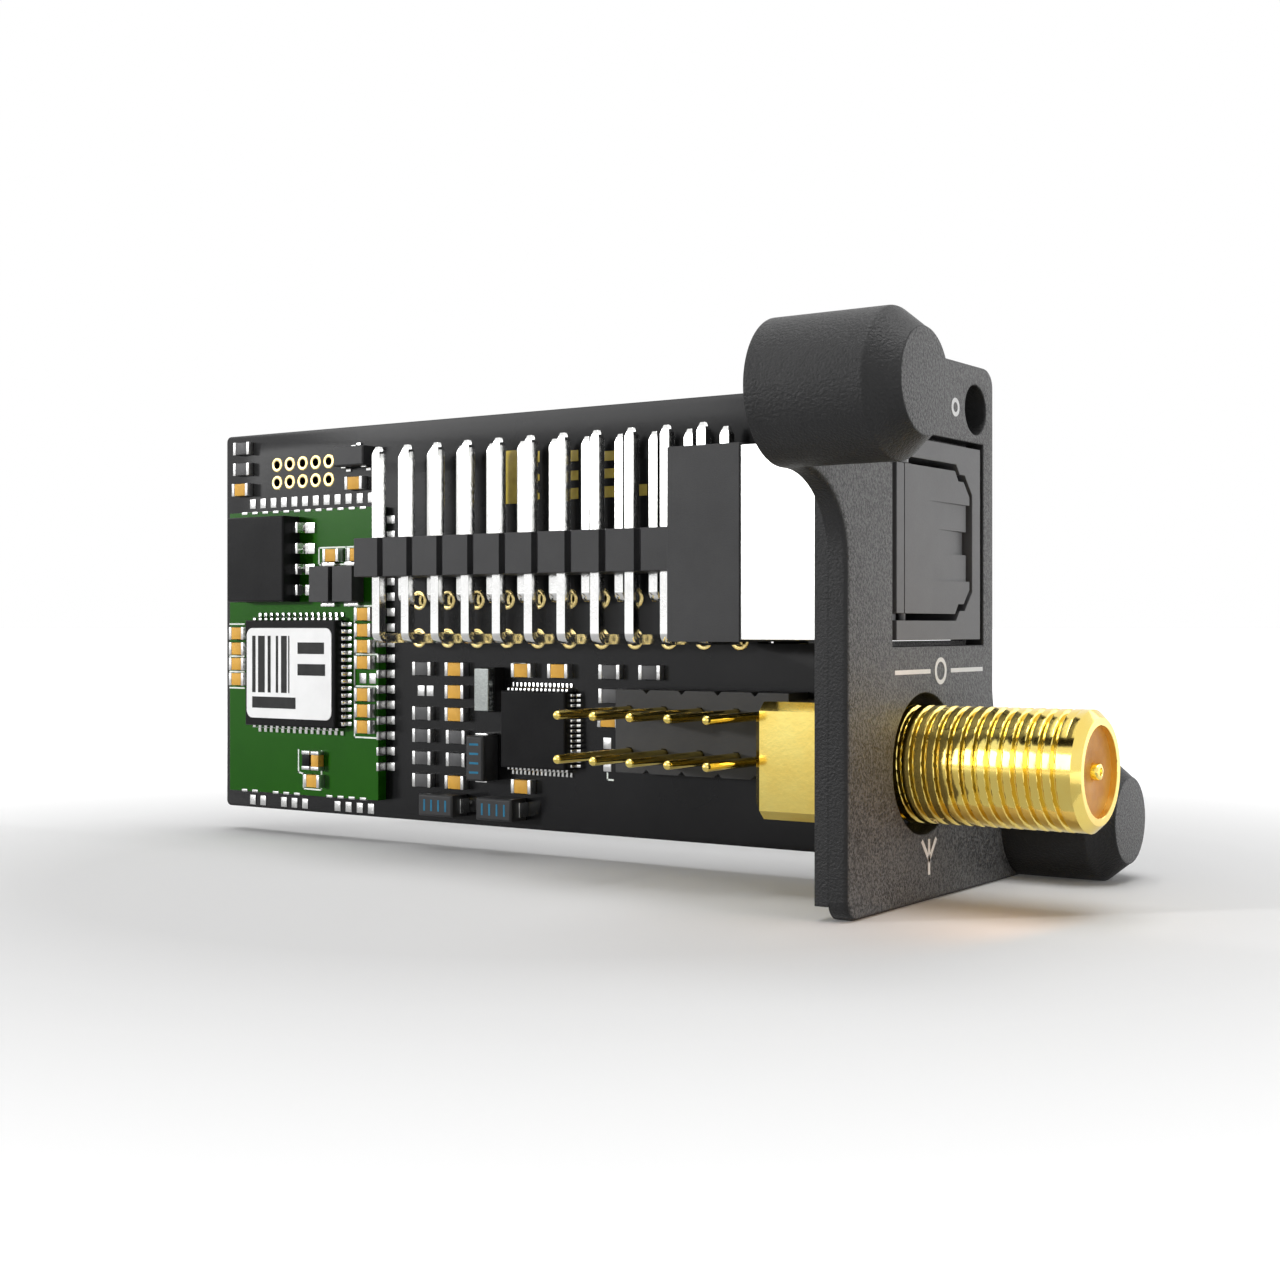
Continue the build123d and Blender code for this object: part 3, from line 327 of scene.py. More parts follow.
finishLooks = {
    # The paler tone and specks on castBlack's faces turned along x are painted light and painted glints on
    # the plate's front
    "castBlack": dict(dark=(0.010, 0.010, 0.0105), light=(0.015, 0.015, 0.0155), grain=0.14, patch=4.0,
                      paintedLitFace=(0.02, 0.02, 0.02), paintedGlint=(0.125, 0.125, 0.125), rough=(0.34, 0.48), bump=0.6,
                      gloss=0.3),
    "maskBlack": dict(dark=(0.006, 0.006, 0.0065), light=(0.009, 0.009, 0.0098), grain=0.3, patch=6.0,
                      rough=(0.19, 0.22), bump=0.015, gloss=0.22),
    "maskGreen": dict(dark=(0.008, 0.072, 0.0008), light=(0.011, 0.086, 0.0012), grain=0.3, patch=5.0,
                      rough=(0.19, 0.22), bump=0.015, gloss=0.17),
    "brightTin": dict(dark=(0.86, 0.86, 0.85), light=(0.95, 0.95, 0.94), grain=0.2, patch=1.5,
                      rough=(0.06, 0.12), bump=0.02, metal=1.0),
    "satinMetal": dict(dark=(0.80, 0.80, 0.79), light=(0.90, 0.90, 0.89), grain=0.06, patch=2.0,
                       rough=(0.22, 0.34), bump=0.05, metal=1.0),
    "springSteel": dict(dark=(0.10, 0.10, 0.10), light=(0.16, 0.16, 0.16), grain=0.06, patch=1.0,
                        rough=(0.3, 0.4), bump=0.05, metal=1.0),
    "lidMetal": dict(dark=(0.28, 0.30, 0.29), light=(0.37, 0.39, 0.38), grain=0.06, patch=2.0,
                     rough=(0.2, 0.3), bump=0.05, metal=1.0),
    "padSolder": dict(dark=(0.52, 0.52, 0.52), light=(0.70, 0.70, 0.69), grain=0.15, patch=0.8,
                      rough=(0.25, 0.4), bump=0.12, metal=1.0),
    "goldPlate": dict(dark=(0.95, 0.70, 0.17), light=(0.97, 0.80, 0.24), grain=0.3, patch=2.5,
                      rough=(0.08, 0.14), bump=0.012, metal=1.0),
    "ringGold": dict(dark=(0.78, 0.60, 0.24), light=(0.88, 0.72, 0.34), grain=0.2, patch=1.0,
                     rough=(0.18, 0.3), bump=0.05, metal=1.0),
    "housingGrey": dict(dark=(0.029, 0.029, 0.030), light=(0.036, 0.036, 0.037), grain=0.09, patch=3.0,
                        rough=(0.5, 0.6), bump=0.1, gloss=0.25),
    "shutterGrey": dict(dark=(0.090, 0.090, 0.092), light=(0.105, 0.105, 0.107), grain=0.08, patch=3.0,
                        rough=(0.42, 0.54), bump=0.08, gloss=0.4),
    "insulatorOrange": dict(dark=(0.52, 0.20, 0.026), light=(0.70, 0.31, 0.045), grain=0.12, patch=1.6,
                            rough=(0.35, 0.5), bump=0.1, gloss=0.3),
    "chipBlack": dict(dark=(0.008, 0.008, 0.0085), light=(0.012, 0.012, 0.0125), grain=0.05, patch=2.5,
                      rough=(0.26, 0.32), bump=0.05, gloss=0.08),
    "mouldGrey": dict(dark=(0.020, 0.020, 0.021), light=(0.027, 0.027, 0.028), grain=0.06, patch=1.5,
                      rough=(0.4, 0.5), bump=0.08, gloss=0.3),
    "resistorBlack": dict(dark=(0.055, 0.055, 0.057), light=(0.075, 0.075, 0.077), grain=0.06, patch=0.8,
                          rough=(0.4, 0.5), bump=0.08, gloss=0.3),
    "ceramicTan": dict(dark=(0.52, 0.27, 0.035), light=(0.62, 0.34, 0.05), grain=0.05, patch=0.7,
                       rough=(0.45, 0.55), bump=0.08, gloss=0.3),
    "labelPaper": dict(dark=(0.71, 0.71, 0.71), light=(0.77, 0.77, 0.77), grain=0.07, patch=2.0,
                       rough=(0.5, 0.65), bump=0.05, gloss=0.2),
    "printBlack": dict(dark=(0.012, 0.012, 0.012), light=(0.022, 0.022, 0.022), grain=0.05, patch=1.0,
                       rough=(0.5, 0.6), bump=0.03, gloss=0.2),
    "printWhite": dict(dark=(0.76, 0.76, 0.76), light=(0.84, 0.84, 0.84), grain=0.07, patch=1.0,
                       rough=(0.5, 0.65), bump=0.05, gloss=0.3),
    "silkWhite": dict(dark=(0.62, 0.68, 0.62), light=(0.76, 0.80, 0.76), grain=0.06, patch=1.0,
                      rough=(0.5, 0.65), bump=0.05, gloss=0.3),
    "markBlue": dict(dark=(0.006, 0.10, 0.19), light=(0.010, 0.15, 0.26), grain=0.06, patch=0.8,
                     rough=(0.5, 0.6), bump=0.03, gloss=0.3),
    "printGold": dict(dark=(0.34, 0.24, 0.012), light=(0.48, 0.36, 0.03), grain=0.08, patch=0.8,
                      rough=(0.35, 0.5), bump=0.05, gloss=0.4),
    "milkyLens": dict(dark=(0.42, 0.44, 0.42), light=(0.52, 0.54, 0.52), grain=0.2, patch=1.0,
                      rough=(0.15, 0.25), bump=0.02, gloss=0.5),
}
finishes = {name: grained(name, look) for name, look in finishLooks.items()}
print("finishes made:", len(finishes))


# Front plate: a flange with ears, a step behind it, ribs for the board and two bosses

plate = dict(halfY=8.95, halfZ=14.85, thick=1.1, step=0.76, stepInset=0.75, corner=1.1, rim=0.3,
             bossY=13.5, bossZ=11.25, bossR=3.6, bossLength=5.1, noseLength=1.4, noseR=2.55, neckR=4.3,
             bore=1.25, boreDepth=5.5, window=(-3.93, 7.45, -1.05, 10.39), jackHole=(-0.1, -7.39, 3.8),
             lightHole=(6.4, 12.3, 1.4), holeRim=0.1, seat=0.06, overlap=0.02, shoulder=0.14,
             shoulderReach=1.25, shoulderDrop=2.2, lip=0.12, ribLength=3.2, ribSink=0.05,
             ribs=[(2.05, 3.15, -13.1, -11.3), (4.75, 5.85, -13.1, -11.3), (2.05, 3.15, 12.1, 13.9)])


def flangeOutline(p):
    # Straight runs and arcs in y and z: one ear high on the near side, one low on the far side
    half = [arc((p["halfY"] - p["corner"], p["halfZ"] - p["corner"]), p["corner"], 0, 90, 13),
            arc((-p["bossY"], p["bossZ"]), p["bossR"], 90, 270, 49),
            arc((-p["halfY"] - p["neckR"], p["bossZ"] - p["bossR"] - p["neckR"]), p["neckR"], 90, 0, 25)]
    half = np.concatenate(half)
    return np.concatenate([half, -half])


def plateShapes(p):
    # The flange and the step block behind it, each a slab with the openings left out. The block's
    # window is only as large as the socket's shell and its seat
    y0, y1, z0, z1 = p["window"]
    window = np.array([[y0, z0], [y0, z1], [y1, z1], [y1, z0]])
    holes = [window, roundHole(*p["jackHole"], 72), roundHole(*p["lightHole"])]
    bores = [roundHole(side * p["bossY"], -side * p["bossZ"], p["bore"]) for side in (-1, 1)]
    shapes = slab(flangeOutline(p), holes + bores, -p["thick"], 0.0, p["rim"], p["holeRim"])
    stepZ = p["halfZ"] - p["stepInset"]
    block = np.array([[-p["halfY"], -stepZ], [p["halfY"], -stepZ], [p["halfY"], stepZ], [-p["halfY"], stepZ]])
    low, high = panelBox("socket_shell")
    seat = p["seat"]
    holes[0] = np.array([[low[1] - seat, low[2] - seat], [low[1] - seat, high[2] + seat],
                         [high[1] + seat, high[2] + seat], [high[1] + seat, low[2] - seat]])
    return shapes + slab(block, holes, -p["thick"] - p["step"], -p["thick"] + p["overlap"], 0.0, 0.0,
                         steps=2)


def bossShapes(p):
    # A round side eases into a short cone, whose end rounds over into a flat face. It starts inside the
    # flange, and its blind bore carries on the flange's own hole
    shoulder, lip = p["shoulder"], p["lip"]
    slope = math.atan2(p["bossR"] - p["noseR"], p["noseLength"])
    reach, drop = p["shoulderReach"] * shoulder / math.sin(slope), p["shoulderDrop"] * shoulder
    profile = [(-p["thick"] + p["boreDepth"], 0.0), (-p["thick"] + p["boreDepth"], p["bore"]),
               (-p["rim"] / 2, p["bore"]), (-p["rim"], p["bossR"]),
               (p["bossLength"] - shoulder, p["bossR"])]
    for share in np.linspace(0, 1, 6)[1:]:
        ease = share * slope
        profile.append((p["bossLength"] - shoulder + reach * math.sin(ease),
                        p["bossR"] - drop * (1 - math.cos(ease))))
    endX = p["bossLength"] + p["noseLength"]
    for a in np.radians(np.linspace(0, 90, 7)):
        profile.append((endX - lip + lip * math.sin(a), p["noseR"] - lip + lip * math.cos(a)))
    profile.append((endX, 0.0))
    return [turned(profile, 0, (0, side * p["bossY"], -side * p["bossZ"]), 128) for side in (-1, 1)]


def ribShapes(p):
    # Short ribs that hold the main board's front corners
    face = -p["thick"] - p["step"]
    lows = [(face - p["ribLength"], y0, z0) for y0, y1, z0, z1 in p["ribs"]]
    highs = [(face + p["ribSink"], y1, z1) for y0, y1, z0, z1 in p["ribs"]]
    return [boxes(lows, highs)]


putMesh("frontPlate", plateShapes(plate) + ribShapes(plate) + bossShapes(plate), "castBlack",
        ("front_plate",), crease=40)
print("front plate made")


# Antenna jack: square bevelled body, threaded neck, insulator and centre contact

jack = dict(y=-0.1, z=-7.39, rear=-8.96, front=-1.86, half=3.25, bevel=0.5, neckR=2.9, threadR=3.175,
            pitch=0.7056, depth=0.22, grooveShare=0.43, flankShare=0.85, crown=0.015, threadFrom=-0.6,
            threadTo=9.0, fade=0.35, reach=9.8, lipR=2.78, lipBevel=0.4, lipRise=0.02, mouthR=2.36,
            mouthEdge=0.03, boreBack=-7.36, postR=0.6, postOut=2.3, postBevel=0.15, tailEnd=5.75)
contact = dict(back=1.4, radius=0.45, rim=0.12, hole=0.2, holeDepth=1.2, holeEdge=0.05, holeFlare=0.02,
               tailHalf=0.32)
insulator = dict(dishR=1.5, dish=0.03, ring=0.1, ringDish=0.04, edgeDish=0.12)
jackMiddle = (jack["rear"] + jack["front"]) / 2
tailX = jack["rear"] + contact["back"]
postPlaces = [(jackMiddle + i * jack["postOut"], jack["z"] + k * jack["postOut"])
              for i in (-1, 1) for k in (-1, 1)]


def threadSurface(j, around=120, perTurn=28):
    # The radius stays nearly level over a broad, slightly crowned crest and falls down straight
    # flanks into a groove, read from the phase of x less one pitch a turn. The groove fades out at
    # the outer end
    turns = (j["threadTo"] - j["threadFrom"]) / j["pitch"]
    x = np.linspace(j["threadFrom"], j["threadTo"], int(turns * perTurn))[:, None]
    t = np.linspace(0, 2 * np.pi, around, endpoint=False)[None, :]
    away = np.abs(np.mod(x / j["pitch"] - t / (2 * np.pi), 1.0) - 0.5) * 2
    groove = np.clip(1 - away / j["grooveShare"], 0, 1)
    drop = j["depth"] * np.minimum(groove / j["flankShare"], 1) + j["crown"] * (1 - away) ** 2
    fade = np.clip((j["threadTo"] - x) / j["fade"], 0, 1)
    radius = j["threadR"] - drop * fade
    points = np.stack([x + 0 * t, j["y"] + radius * np.cos(t), j["z"] + radius * np.sin(t)], -1)
    return points.reshape(-1, 3), ringFaces(len(x), around)


def squareBody(j):
    # A square bar along x with its long edges and its rear rim cut by the bevel
    h, b = j["half"], j["bevel"]
    eight = np.array([(h, h - b), (h - b, h), (b - h, h), (-h, h - b), (-h, b - h), (b - h, -h), (h - b, -h),
                      (h, b - h)])
    sections = [(j["rear"], 1 - b / h), (j["rear"] + b, 1.0), (j["front"], 1.0)]
    rings = [np.insert(eight * share, 0, x, axis=1) for x, share in sections]
    faces = ringFaces(3, 8).tolist() + [list(range(8)), list(range(16, 24))]
    return np.concatenate(rings) + (0, j["y"], j["z"]), faces


def jackShapes(j):
    # The square body and the thread, with the neck and the end cap turned about the same axis. The
    # cap's profile has a bevelled lip and carries on into the bore. Each post is turned about its own
    place = (0, j["y"], j["z"])
    neck = [(j["front"], j["neckR"]), (j["threadFrom"], j["neckR"]), (j["threadFrom"], j["threadR"])]
    tip, edge, post = j["reach"], j["mouthEdge"], j["postBevel"]
    bevelEnd = tip - j["lipRise"]
    endCap = [(j["threadTo"], j["threadR"]), (bevelEnd - j["lipBevel"], j["threadR"]), (bevelEnd, j["lipR"]),
              (tip, j["lipR"] - edge), (tip, j["mouthR"] + edge), (tip - edge, j["mouthR"]),
              (j["boreBack"], j["mouthR"]), (j["boreBack"], 0.0)]
    postProfile = [(j["y"], 0.0), (j["y"], j["postR"]), (j["tailEnd"] - post, j["postR"]),
                   (j["tailEnd"], j["postR"] - post), (j["tailEnd"], 0.0)]
    shapes = [squareBody(j), turned(neck, 0, place, 120), threadSurface(j), turned(endCap, 0, place, 120)]
    return shapes + [turned(postProfile, 1, (x, 0, z), 24) for x, z in postPlaces]


putMesh("antennaJack", jackShapes(jack), "goldPlate", ("antenna_jack",), crease=28)


def contactShapes(j, c):
    # A round rod with a rounded rim and a small hole in its end, and a square tail into the board
    tip, radius, rim, hole, half = j["reach"], c["radius"], c["rim"], c["hole"], c["tailHalf"]
    rod = [(tailX, 0.0), (tailX, radius), (tip - rim, radius), (tip - rim / 3, radius - rim / 3),
           (tip, radius - rim), (tip, hole + c["holeFlare"]), (tip - c["holeEdge"], hole),
           (tip - c["holeDepth"], hole), (tip - c["holeDepth"], 0.0)]
    tail = boxes([tailX - half, j["y"], j["z"] - half], [tailX + half, j["tailEnd"], j["z"] + half])
    return [turned(rod, 0, (0, j["y"], j["z"]), 48), tail]


def insulatorShapes(j, c, p):
    # A thick washer, slightly dished towards the contact
    low, high = panelBox("antenna_insulator")
    back, face = low[0], high[0]
    section = [(back, c["radius"]), (back, j["mouthR"]), (face, j["mouthR"]), (face - p["dish"], p["dishR"]),
               (face - p["ringDish"], c["radius"] + p["ring"]), (face - p["edgeDish"], c["radius"])]
    return [turned(section + section[:1], 0, (0, j["y"], j["z"]), 72)]


putMesh("antennaContact", contactShapes(jack, contact), "goldPlate", ("antenna_contact",), crease=30)
putMesh("antennaInsulator", insulatorShapes(jack, contact, insulator), "insulatorOrange",
        ("antenna_insulator",), crease=40)
print("antenna jack made")


# Optical socket

shellLow, shellHigh = panelBox("socket_shell")
metalFrom = -plate["thick"] - plate["step"]
onSide, leaning = 0.05, 0.5  # how near a face lies to a side, and how much of its normal points one way
statusLight = dict(block=2.6, back=1.5, barR=1.0, barLength=0.6, domeDepth=0.5, flatR=0.35)


def plasticFaces(middles, normals):
    # The shell is metal on its four outer sides behind the plate, and plastic on its front and in the slot
    toLow, toHigh = np.abs(middles[:, 1:] - shellLow[1:]), np.abs(middles[:, 1:] - shellHigh[1:])
    outside = np.minimum(toLow, toHigh).min(1) < onSide
    return ~(outside & (np.abs(normals[:, 0]) < leaning) & (middles[:, 0] < metalFrom))


def statusLightShapes(p):
    # A square block on the board and a short round bar that ends in a dome
    low, high = panelBox("status_light")
    face = high[0] - p["back"]
    tip = face + p["barLength"]
    dome = [(face, p["barR"])]
    for a in np.radians(np.linspace(0, 90, 9)):
        dome.append((tip - p["domeDepth"] * (1 - math.sin(a)),
                     p["flatR"] + (p["barR"] - p["flatR"]) * math.cos(a)))
    dome.append((tip, 0.0))
    place = (0, high[1] - p["block"] / 2, (low[2] + high[2]) / 2)
    return [boxes(low, [face, high[1], low[2] + p["block"]]), turned(dome, 0, place, 40)]


softCopy("socketShell", "socket_shell", "satinMetal", 0.05, second="shutterGrey", where=plasticFaces,
         cutX=metalFrom)
softCopy("socketShutter", "socket_shutter", "shutterGrey", 0.05, body="shutter")
softCopy("shutterSpring", "shutter_spring", "springSteel", 0.02)
softCopy("socketRearHousing", "socket_rear_housing", "housingGrey", 0.05)
softCopy("lightEmitter", "light_emitter", "chipBlack", 0.05)
softCopy("emitterLeads", "emitter_leads", "brightTin", 0.04)
putMesh("statusLight", statusLightShapes(statusLight), "milkyLens", ("status_light",), crease=40)
print("optical socket made")


# Boards

mainBoard = dict(corner=0.4, notchBehind=0.73, notchHalf=5.53, notchGap=0.12, rim=0.04, pinHole=0.48,
                 serviceHole=0.3, testHole=0.27, postHole=0.7)
platedRing = dict(header=(0.66, 0.42), test=(0.52, 0.29), rise=0.04, outerEdge=0.02, outerSlope=0.07,
                  innerSlope=0.05, outerShare=0.8, innerShare=0.6, depth=0.6)


def middlesOf(node):
    # Half way between the corners of each solid of a node
    lows, highs = islands(node)
    return (lows + highs) / 2


def boardShapes(p):
    # The board's outline in x and z with a notch for the socket, and a round hole for each pin
    low, high = panelBox("main_board")
    notchLow, notchHigh = panelBox("socket_rear_housing")
    notchX = islands("light_emitter")[0][0][0] - p["notchBehind"] - p["notchGap"]
    skirtZ = (notchLow[2] + notchHigh[2]) / 2
    halfNotch = p["notchHalf"] + p["notchGap"]
    c = p["corner"]
    outline = np.concatenate([
        arc((low[0] + c, low[2] + c), c, 180, 270, 7), arc((high[0] - c, low[2] + c), c, 270, 360, 7),
        [(high[0], skirtZ - halfNotch), (notchX, skirtZ - halfNotch), (notchX, skirtZ + halfNotch),
         (high[0], skirtZ + halfNotch)],
        arc((high[0] - c, high[2] - c), c, 0, 90, 7), arc((low[0] + c, high[2] - c), c, 90, 180, 7)])
    holes = [roundHole(x, z, p["pinHole"], 20) for x, y, z in middlesOf("header_rings")]
    holes += [roundHole(x, z, p["serviceHole"], 16) for x, y, z in middlesOf("service_pins")]
    holes += [roundHole(x, z, p["testHole"], 16) for x, y, z in middlesOf("test_rings")]
    holes += [roundHole(x, z, p["postHole"], 20) for x, z in postPlaces]
    holes.append(roundHole(tailX, jack["z"], p["pinHole"], 20))
    return slab(outline, holes, high[1], low[1], p["rim"], 0.0, depthAxis=1, backRim=p["rim"], steps=3)


putMesh("mainBoard", boardShapes(mainBoard), "maskBlack", ("main_board",), crease=50)
softCopy("radioBoard", "radio_board", "maskGreen", 0.03)


def plated(name, node, radii, p):
    # A low domed ring round each hole: the profile climbs, rounds over and falls to the hole
    lows, highs = islands(node)
    outer, inner = radii
    rise = p["rise"]
    section = [(0.0, outer), (-rise * p["outerShare"], outer - p["outerEdge"]),
               (-rise, outer - p["outerSlope"]), (-rise, inner + p["innerSlope"]),
               (-rise * p["innerShare"], inner), (p["depth"], inner)]
    places = np.stack([(lows + highs)[:, 0] / 2, highs[:, 1], (lows + highs)[:, 2] / 2], -1)
    putMesh(name, [turned(section, 1, place, 36) for place in places], "ringGold", (node,), crease=60)


plated("headerRings", "header_rings", platedRing["header"], platedRing)
plated("testRings", "test_rings", platedRing["test"], platedRing)
softCopy("edgePads", "edge_pads", "padSolder", 0.015)
softCopy("landPads", "land_pads", "padSolder", 0.015)
softCopy("sparePads", "spare_pads", "padSolder", 0.015)
print("boards made")


# Headers

headerPin = dict(half=0.32, tipHalf=0.16, taper=0.5, bend=0.72, tailTaper=0.3, tailR=0.36)
servicePin = dict(radius=0.27)
solder = dict(spread=0.42, rise=0.5, lift=0.03, sink=0.05, hollow=1.6, bite=0.1)


def notchShadeFaces(middles, normals):
    # The sides and floors of the notches between the header block's cells get the darker finish as painted
    # shade
    low, high = panelBox("header_block")
    inside = (middles[:, 0] > low[0] + onSide) & (middles[:, 0] < high[0] - onSide)
    floors = (normals[:, 1] < -leaning) & (middles[:, 1] > low[1] + onSide)
    return inside & ((np.abs(normals[:, 0]) > leaning) | floors)


def squarePins(node, p):
    # A square section carried from the tip down, round a quarter bend and back through the board
    lows, highs = islands(node)
    t = np.radians(np.linspace(180, 270, 9))
    r = p["bend"] - p["half"]
    shapes = []
    for low, high in zip(lows, highs):
        pinY, holeZ = low[1] + p["half"], low[2] + p["half"]
        bend = np.stack([pinY + r + r * np.cos(t), holeZ + r + r * np.sin(t)], -1)
        line = np.concatenate([[(pinY, high[2]), (pinY, high[2] - p["taper"])], bend,
                               [(high[1] - p["tailTaper"], holeZ), (high[1], holeZ)]])
        inward = np.concatenate([[(1, 0), (1, 0)], np.stack([-np.cos(t), -np.sin(t)], -1), [(0, 1), (0, 1)]])
        half = np.full(len(line), p["half"])
        half[0] = half[-1] = p["tipHalf"]
        rings = []
        for across, along in ((1, 1), (-1, 1), (-1, -1), (1, -1)):
            corner = line + inward * (half * along)[:, None]
            rings.append(np.stack([(low[0] + high[0]) / 2 + half * across, corner[:, 0], corner[:, 1]], -1))
        points = np.stack(rings, 1).reshape(-1, 3)
        last = len(points) - 4
        faces = ringFaces(len(line), 4).tolist()
        faces += [[0, 1, 2, 3], [last, last + 1, last + 2, last + 3]]
        shapes.append((points, faces))
    return shapes


def roundPins(node, radius):
    # Round pins along y, whose near end is a quarter circle turned about the pin
    lows, highs = islands(node)
    t = np.radians(np.linspace(90, 0, 7))
    shapes = []
    for low, high in zip(lows, highs):
        section = [(low[1] + radius * (1 - math.sin(s)), radius * math.cos(s)) for s in t]
        place = ((low[0] + high[0]) / 2, 0, (low[2] + high[2]) / 2)
        shapes.append(turned(section + [(high[1], radius), (high[1], 0.0)], 1, place, 28))
    return shapes


# The notches of the header block carry chipBlack as painted shade
softCopy("headerBlock", "header_block", "housingGrey", 0.03, second="chipBlack", where=notchShadeFaces)
softCopy("serviceBlock", "service_block", "housingGrey", 0.05)
putMesh("headerOuterPins", squarePins("header_outer_pins", headerPin), "brightTin", ("header_outer_pins",),
        edge=0.025)
putMesh("headerInnerPins", squarePins("header_inner_pins", headerPin), "brightTin", ("header_inner_pins",),
        edge=0.025)
putMesh("servicePins", roundPins("service_pins", servicePin["radius"]), "goldPlate", ("service_pins",),
        crease=40)


def solderCones(places, inner, p):
    # A hollow-sided cone of solder round each tail on the board's rear: the radius falls as a power of
    # the height that is left, and the cone is closed inside the tail and under the board's face
    back = panelBox("main_board")[1][1]
    foot, sunk, core, outer = back + p["lift"], back - p["sink"], inner - p["bite"], inner + p["spread"]
    section = [(sunk, outer)]
    for a in np.radians(np.linspace(0, 90, 6)):
        share = math.sin(a)
        section.append((foot + p["rise"] * share, inner + p["spread"] * (1 - share) ** p["hollow"]))
    section += [(foot + p["rise"], core), (sunk, core), (sunk, outer)]
    return [turned(section, 1, (x, 0, z), 24) for x, z in places]


def rearPlaces(node):
    # The middles of a node's solids in x and z
    return [(x, z) for x, y, z in middlesOf(node)]


rearSolder = solderCones(rearPlaces("header_rings"), headerPin["tailR"], solder)
rearSolder += solderCones(rearPlaces("service_pins"), servicePin["radius"], solder)
rearSolder += solderCones(postPlaces, jack["postR"], solder)
putMesh("rearSolder", rearSolder, "padSolder", crease=40)
print("headers made")


# Chips and their leads

for name, node, finish, edge in (
        ("radioChip", "radio_chip", "chipBlack", 0.02),
        ("memoryChip", "memory_chip", "chipBlack", 0.03),
        ("radioChipLabel", "radio_chip_label", "labelPaper", 0.012),
        ("audioChip", "audio_chip", "chipBlack", 0.02),
        ("regulatorBody", "regulator", "mouldGrey", 0.03),
        ("coilBlocks", "coil_blocks", "mouldGrey", 0.04),
        ("coilEnds", "coil_ends", "brightTin", 0.02),
        ("crystalBase", "crystal_base", "chipBlack", 0.03),
        ("crystalLid", "crystal_lid", "lidMetal", 0.06)):
    softCopy(name, node, finish, edge)


# Shares of a lead's reach are given for shoulder, heel and bend, and millimetres for the rest
lead = dict(thick=0.12, shoulder=0.3, heel=0.5, bend=0.06, sink=0.02, drop=0.03, slant=0.5, edge=0.008)
memoryLead = {**lead, "thick": 0.14, "shoulder": 0.32}


def gullWings(name, leadNode, chipNode, faceY, p):
    # Each lead is one profile carried across its width: out from the body, down, and along the board.
    # Its underside is the same line moved by the thickness and, on the slope, back by a share of it
    lows, highs = islands(leadNode)
    chipLow, chipHigh = panelBox(chipNode)
    shapes = []
    for low, high in zip(lows, highs):
        middle = (low + high) / 2
        beyond = [middle[0] - chipHigh[0], chipLow[0] - middle[0],
                  middle[2] - chipHigh[2], chipLow[2] - middle[2]]
        way = int(np.argmax(beyond))
        axis, sign = (0 if way < 2 else 2), (1 if way in (0, 2) else -1)
        root = (chipHigh if sign > 0 else chipLow)[axis]
        reach = abs((high if sign > 0 else low)[axis] - root)
        footY = faceY - p["thick"]
        line = np.array([(-p["sink"], low[1]), (reach * p["shoulder"], low[1]),
                         (reach * (p["shoulder"] + p["bend"]), low[1] + p["drop"]),
                         (reach * (p["heel"] - p["bend"]), footY - p["drop"]), (reach * p["heel"], footY),
                         (reach, footY)])
        under = line + (0.0, p["thick"])
        under[1:5, 0] -= p["thick"] * p["slant"]
        outline = np.concatenate([line, under[::-1]])
        halfWidth = (high - low)[2 - axis] / 2
        points = np.zeros((2, len(outline), 3))
        points[..., axis] = root + sign * outline[:, 0]
        points[..., 1] = outline[:, 1]
        points[..., 2 - axis] = middle[2 - axis] + np.array([[-halfWidth], [halfWidth]])
        count = len(outline)
        faces = ringFaces(2, count).tolist()
        for start in (0, count):  # each end is closed by quads between the line and its underside
            faces += [[start + i, start + i + 1, start + count - 2 - i, start + count - 1 - i]
                      for i in range(count // 2 - 1)]
        shapes.append((points.reshape(-1, 3), faces))
    putMesh(name, shapes, "brightTin", (leadNode,), crease=50, edge=p["edge"])


mainFaceY = panelBox("main_board")[0][1]
radioFaceY = panelBox("radio_board")[0][1]
gullWings("radioChipLeads", "radio_chip_leads", "radio_chip", radioFaceY, lead)
gullWings("audioChipLeads", "audio_chip_leads", "audio_chip", mainFaceY, lead)
gullWings("memoryChipLeads", "memory_chip_leads", "memory_chip", radioFaceY, memoryLead)
gullWings("regulatorLeads", "regulator_leads", "regulator", mainFaceY, lead)
print("chips made")


# Small parts

for name, node, finish, edge in (
        ("powerCapacitors", "power_capacitors", "mouldGrey", 0.03),
        ("powerCapacitorTabs", "power_capacitor_tabs", "brightTin", 0.015),
        ("boardCapacitors", "board_capacitors", "ceramicTan", 0.03),
        ("boardCapacitorEnds", "board_capacitor_ends", "padSolder", 0.035),
        ("boardResistors", "board_resistors", "resistorBlack", 0.02),
        ("boardResistorEnds", "board_resistor_ends", "padSolder", 0.03),
        ("radioCapacitors", "radio_capacitors", "ceramicTan", 0.03),
        ("radioCapacitorEnds", "radio_capacitor_ends", "padSolder", 0.035),
        ("radioResistor", "radio_resistor", "chipBlack", 0.02),
        ("radioResistorEnds", "radio_resistor_ends", "padSolder", 0.03)):
    softCopy(name, node, finish, edge)
print("small parts made")


# Printed lines and plain marks, as thin raised strips. Their places are pairs of x and z on a board's
# face, or of y and z on the plate

def strips(lines, width, face, rise, axis=1):
    # Each run between two points becomes a thin closed box along it, longer by its width
    shapes = []
    for line in lines:
        for start, stop in zip(line[:-1], line[1:]):
            start, stop = np.array(start, float), np.array(stop, float)
            along = (stop - start) / np.linalg.norm(stop - start) * width / 2
            across = np.array([-along[1], along[0]])
            flat = np.array([start - along - across, stop + along - across, stop + along + across,
                             start - along + across])
            points = np.concatenate([np.insert(flat, axis, depth, axis=1) for depth in (face, face + rise)])
            faces = [[0, 1, 2, 3], [4, 5, 6, 7], [0, 1, 5, 4], [1, 2, 6, 5], [2, 3, 7, 6], [3, 0, 4, 7]]
            shapes.append((points, faces))
    return shapes


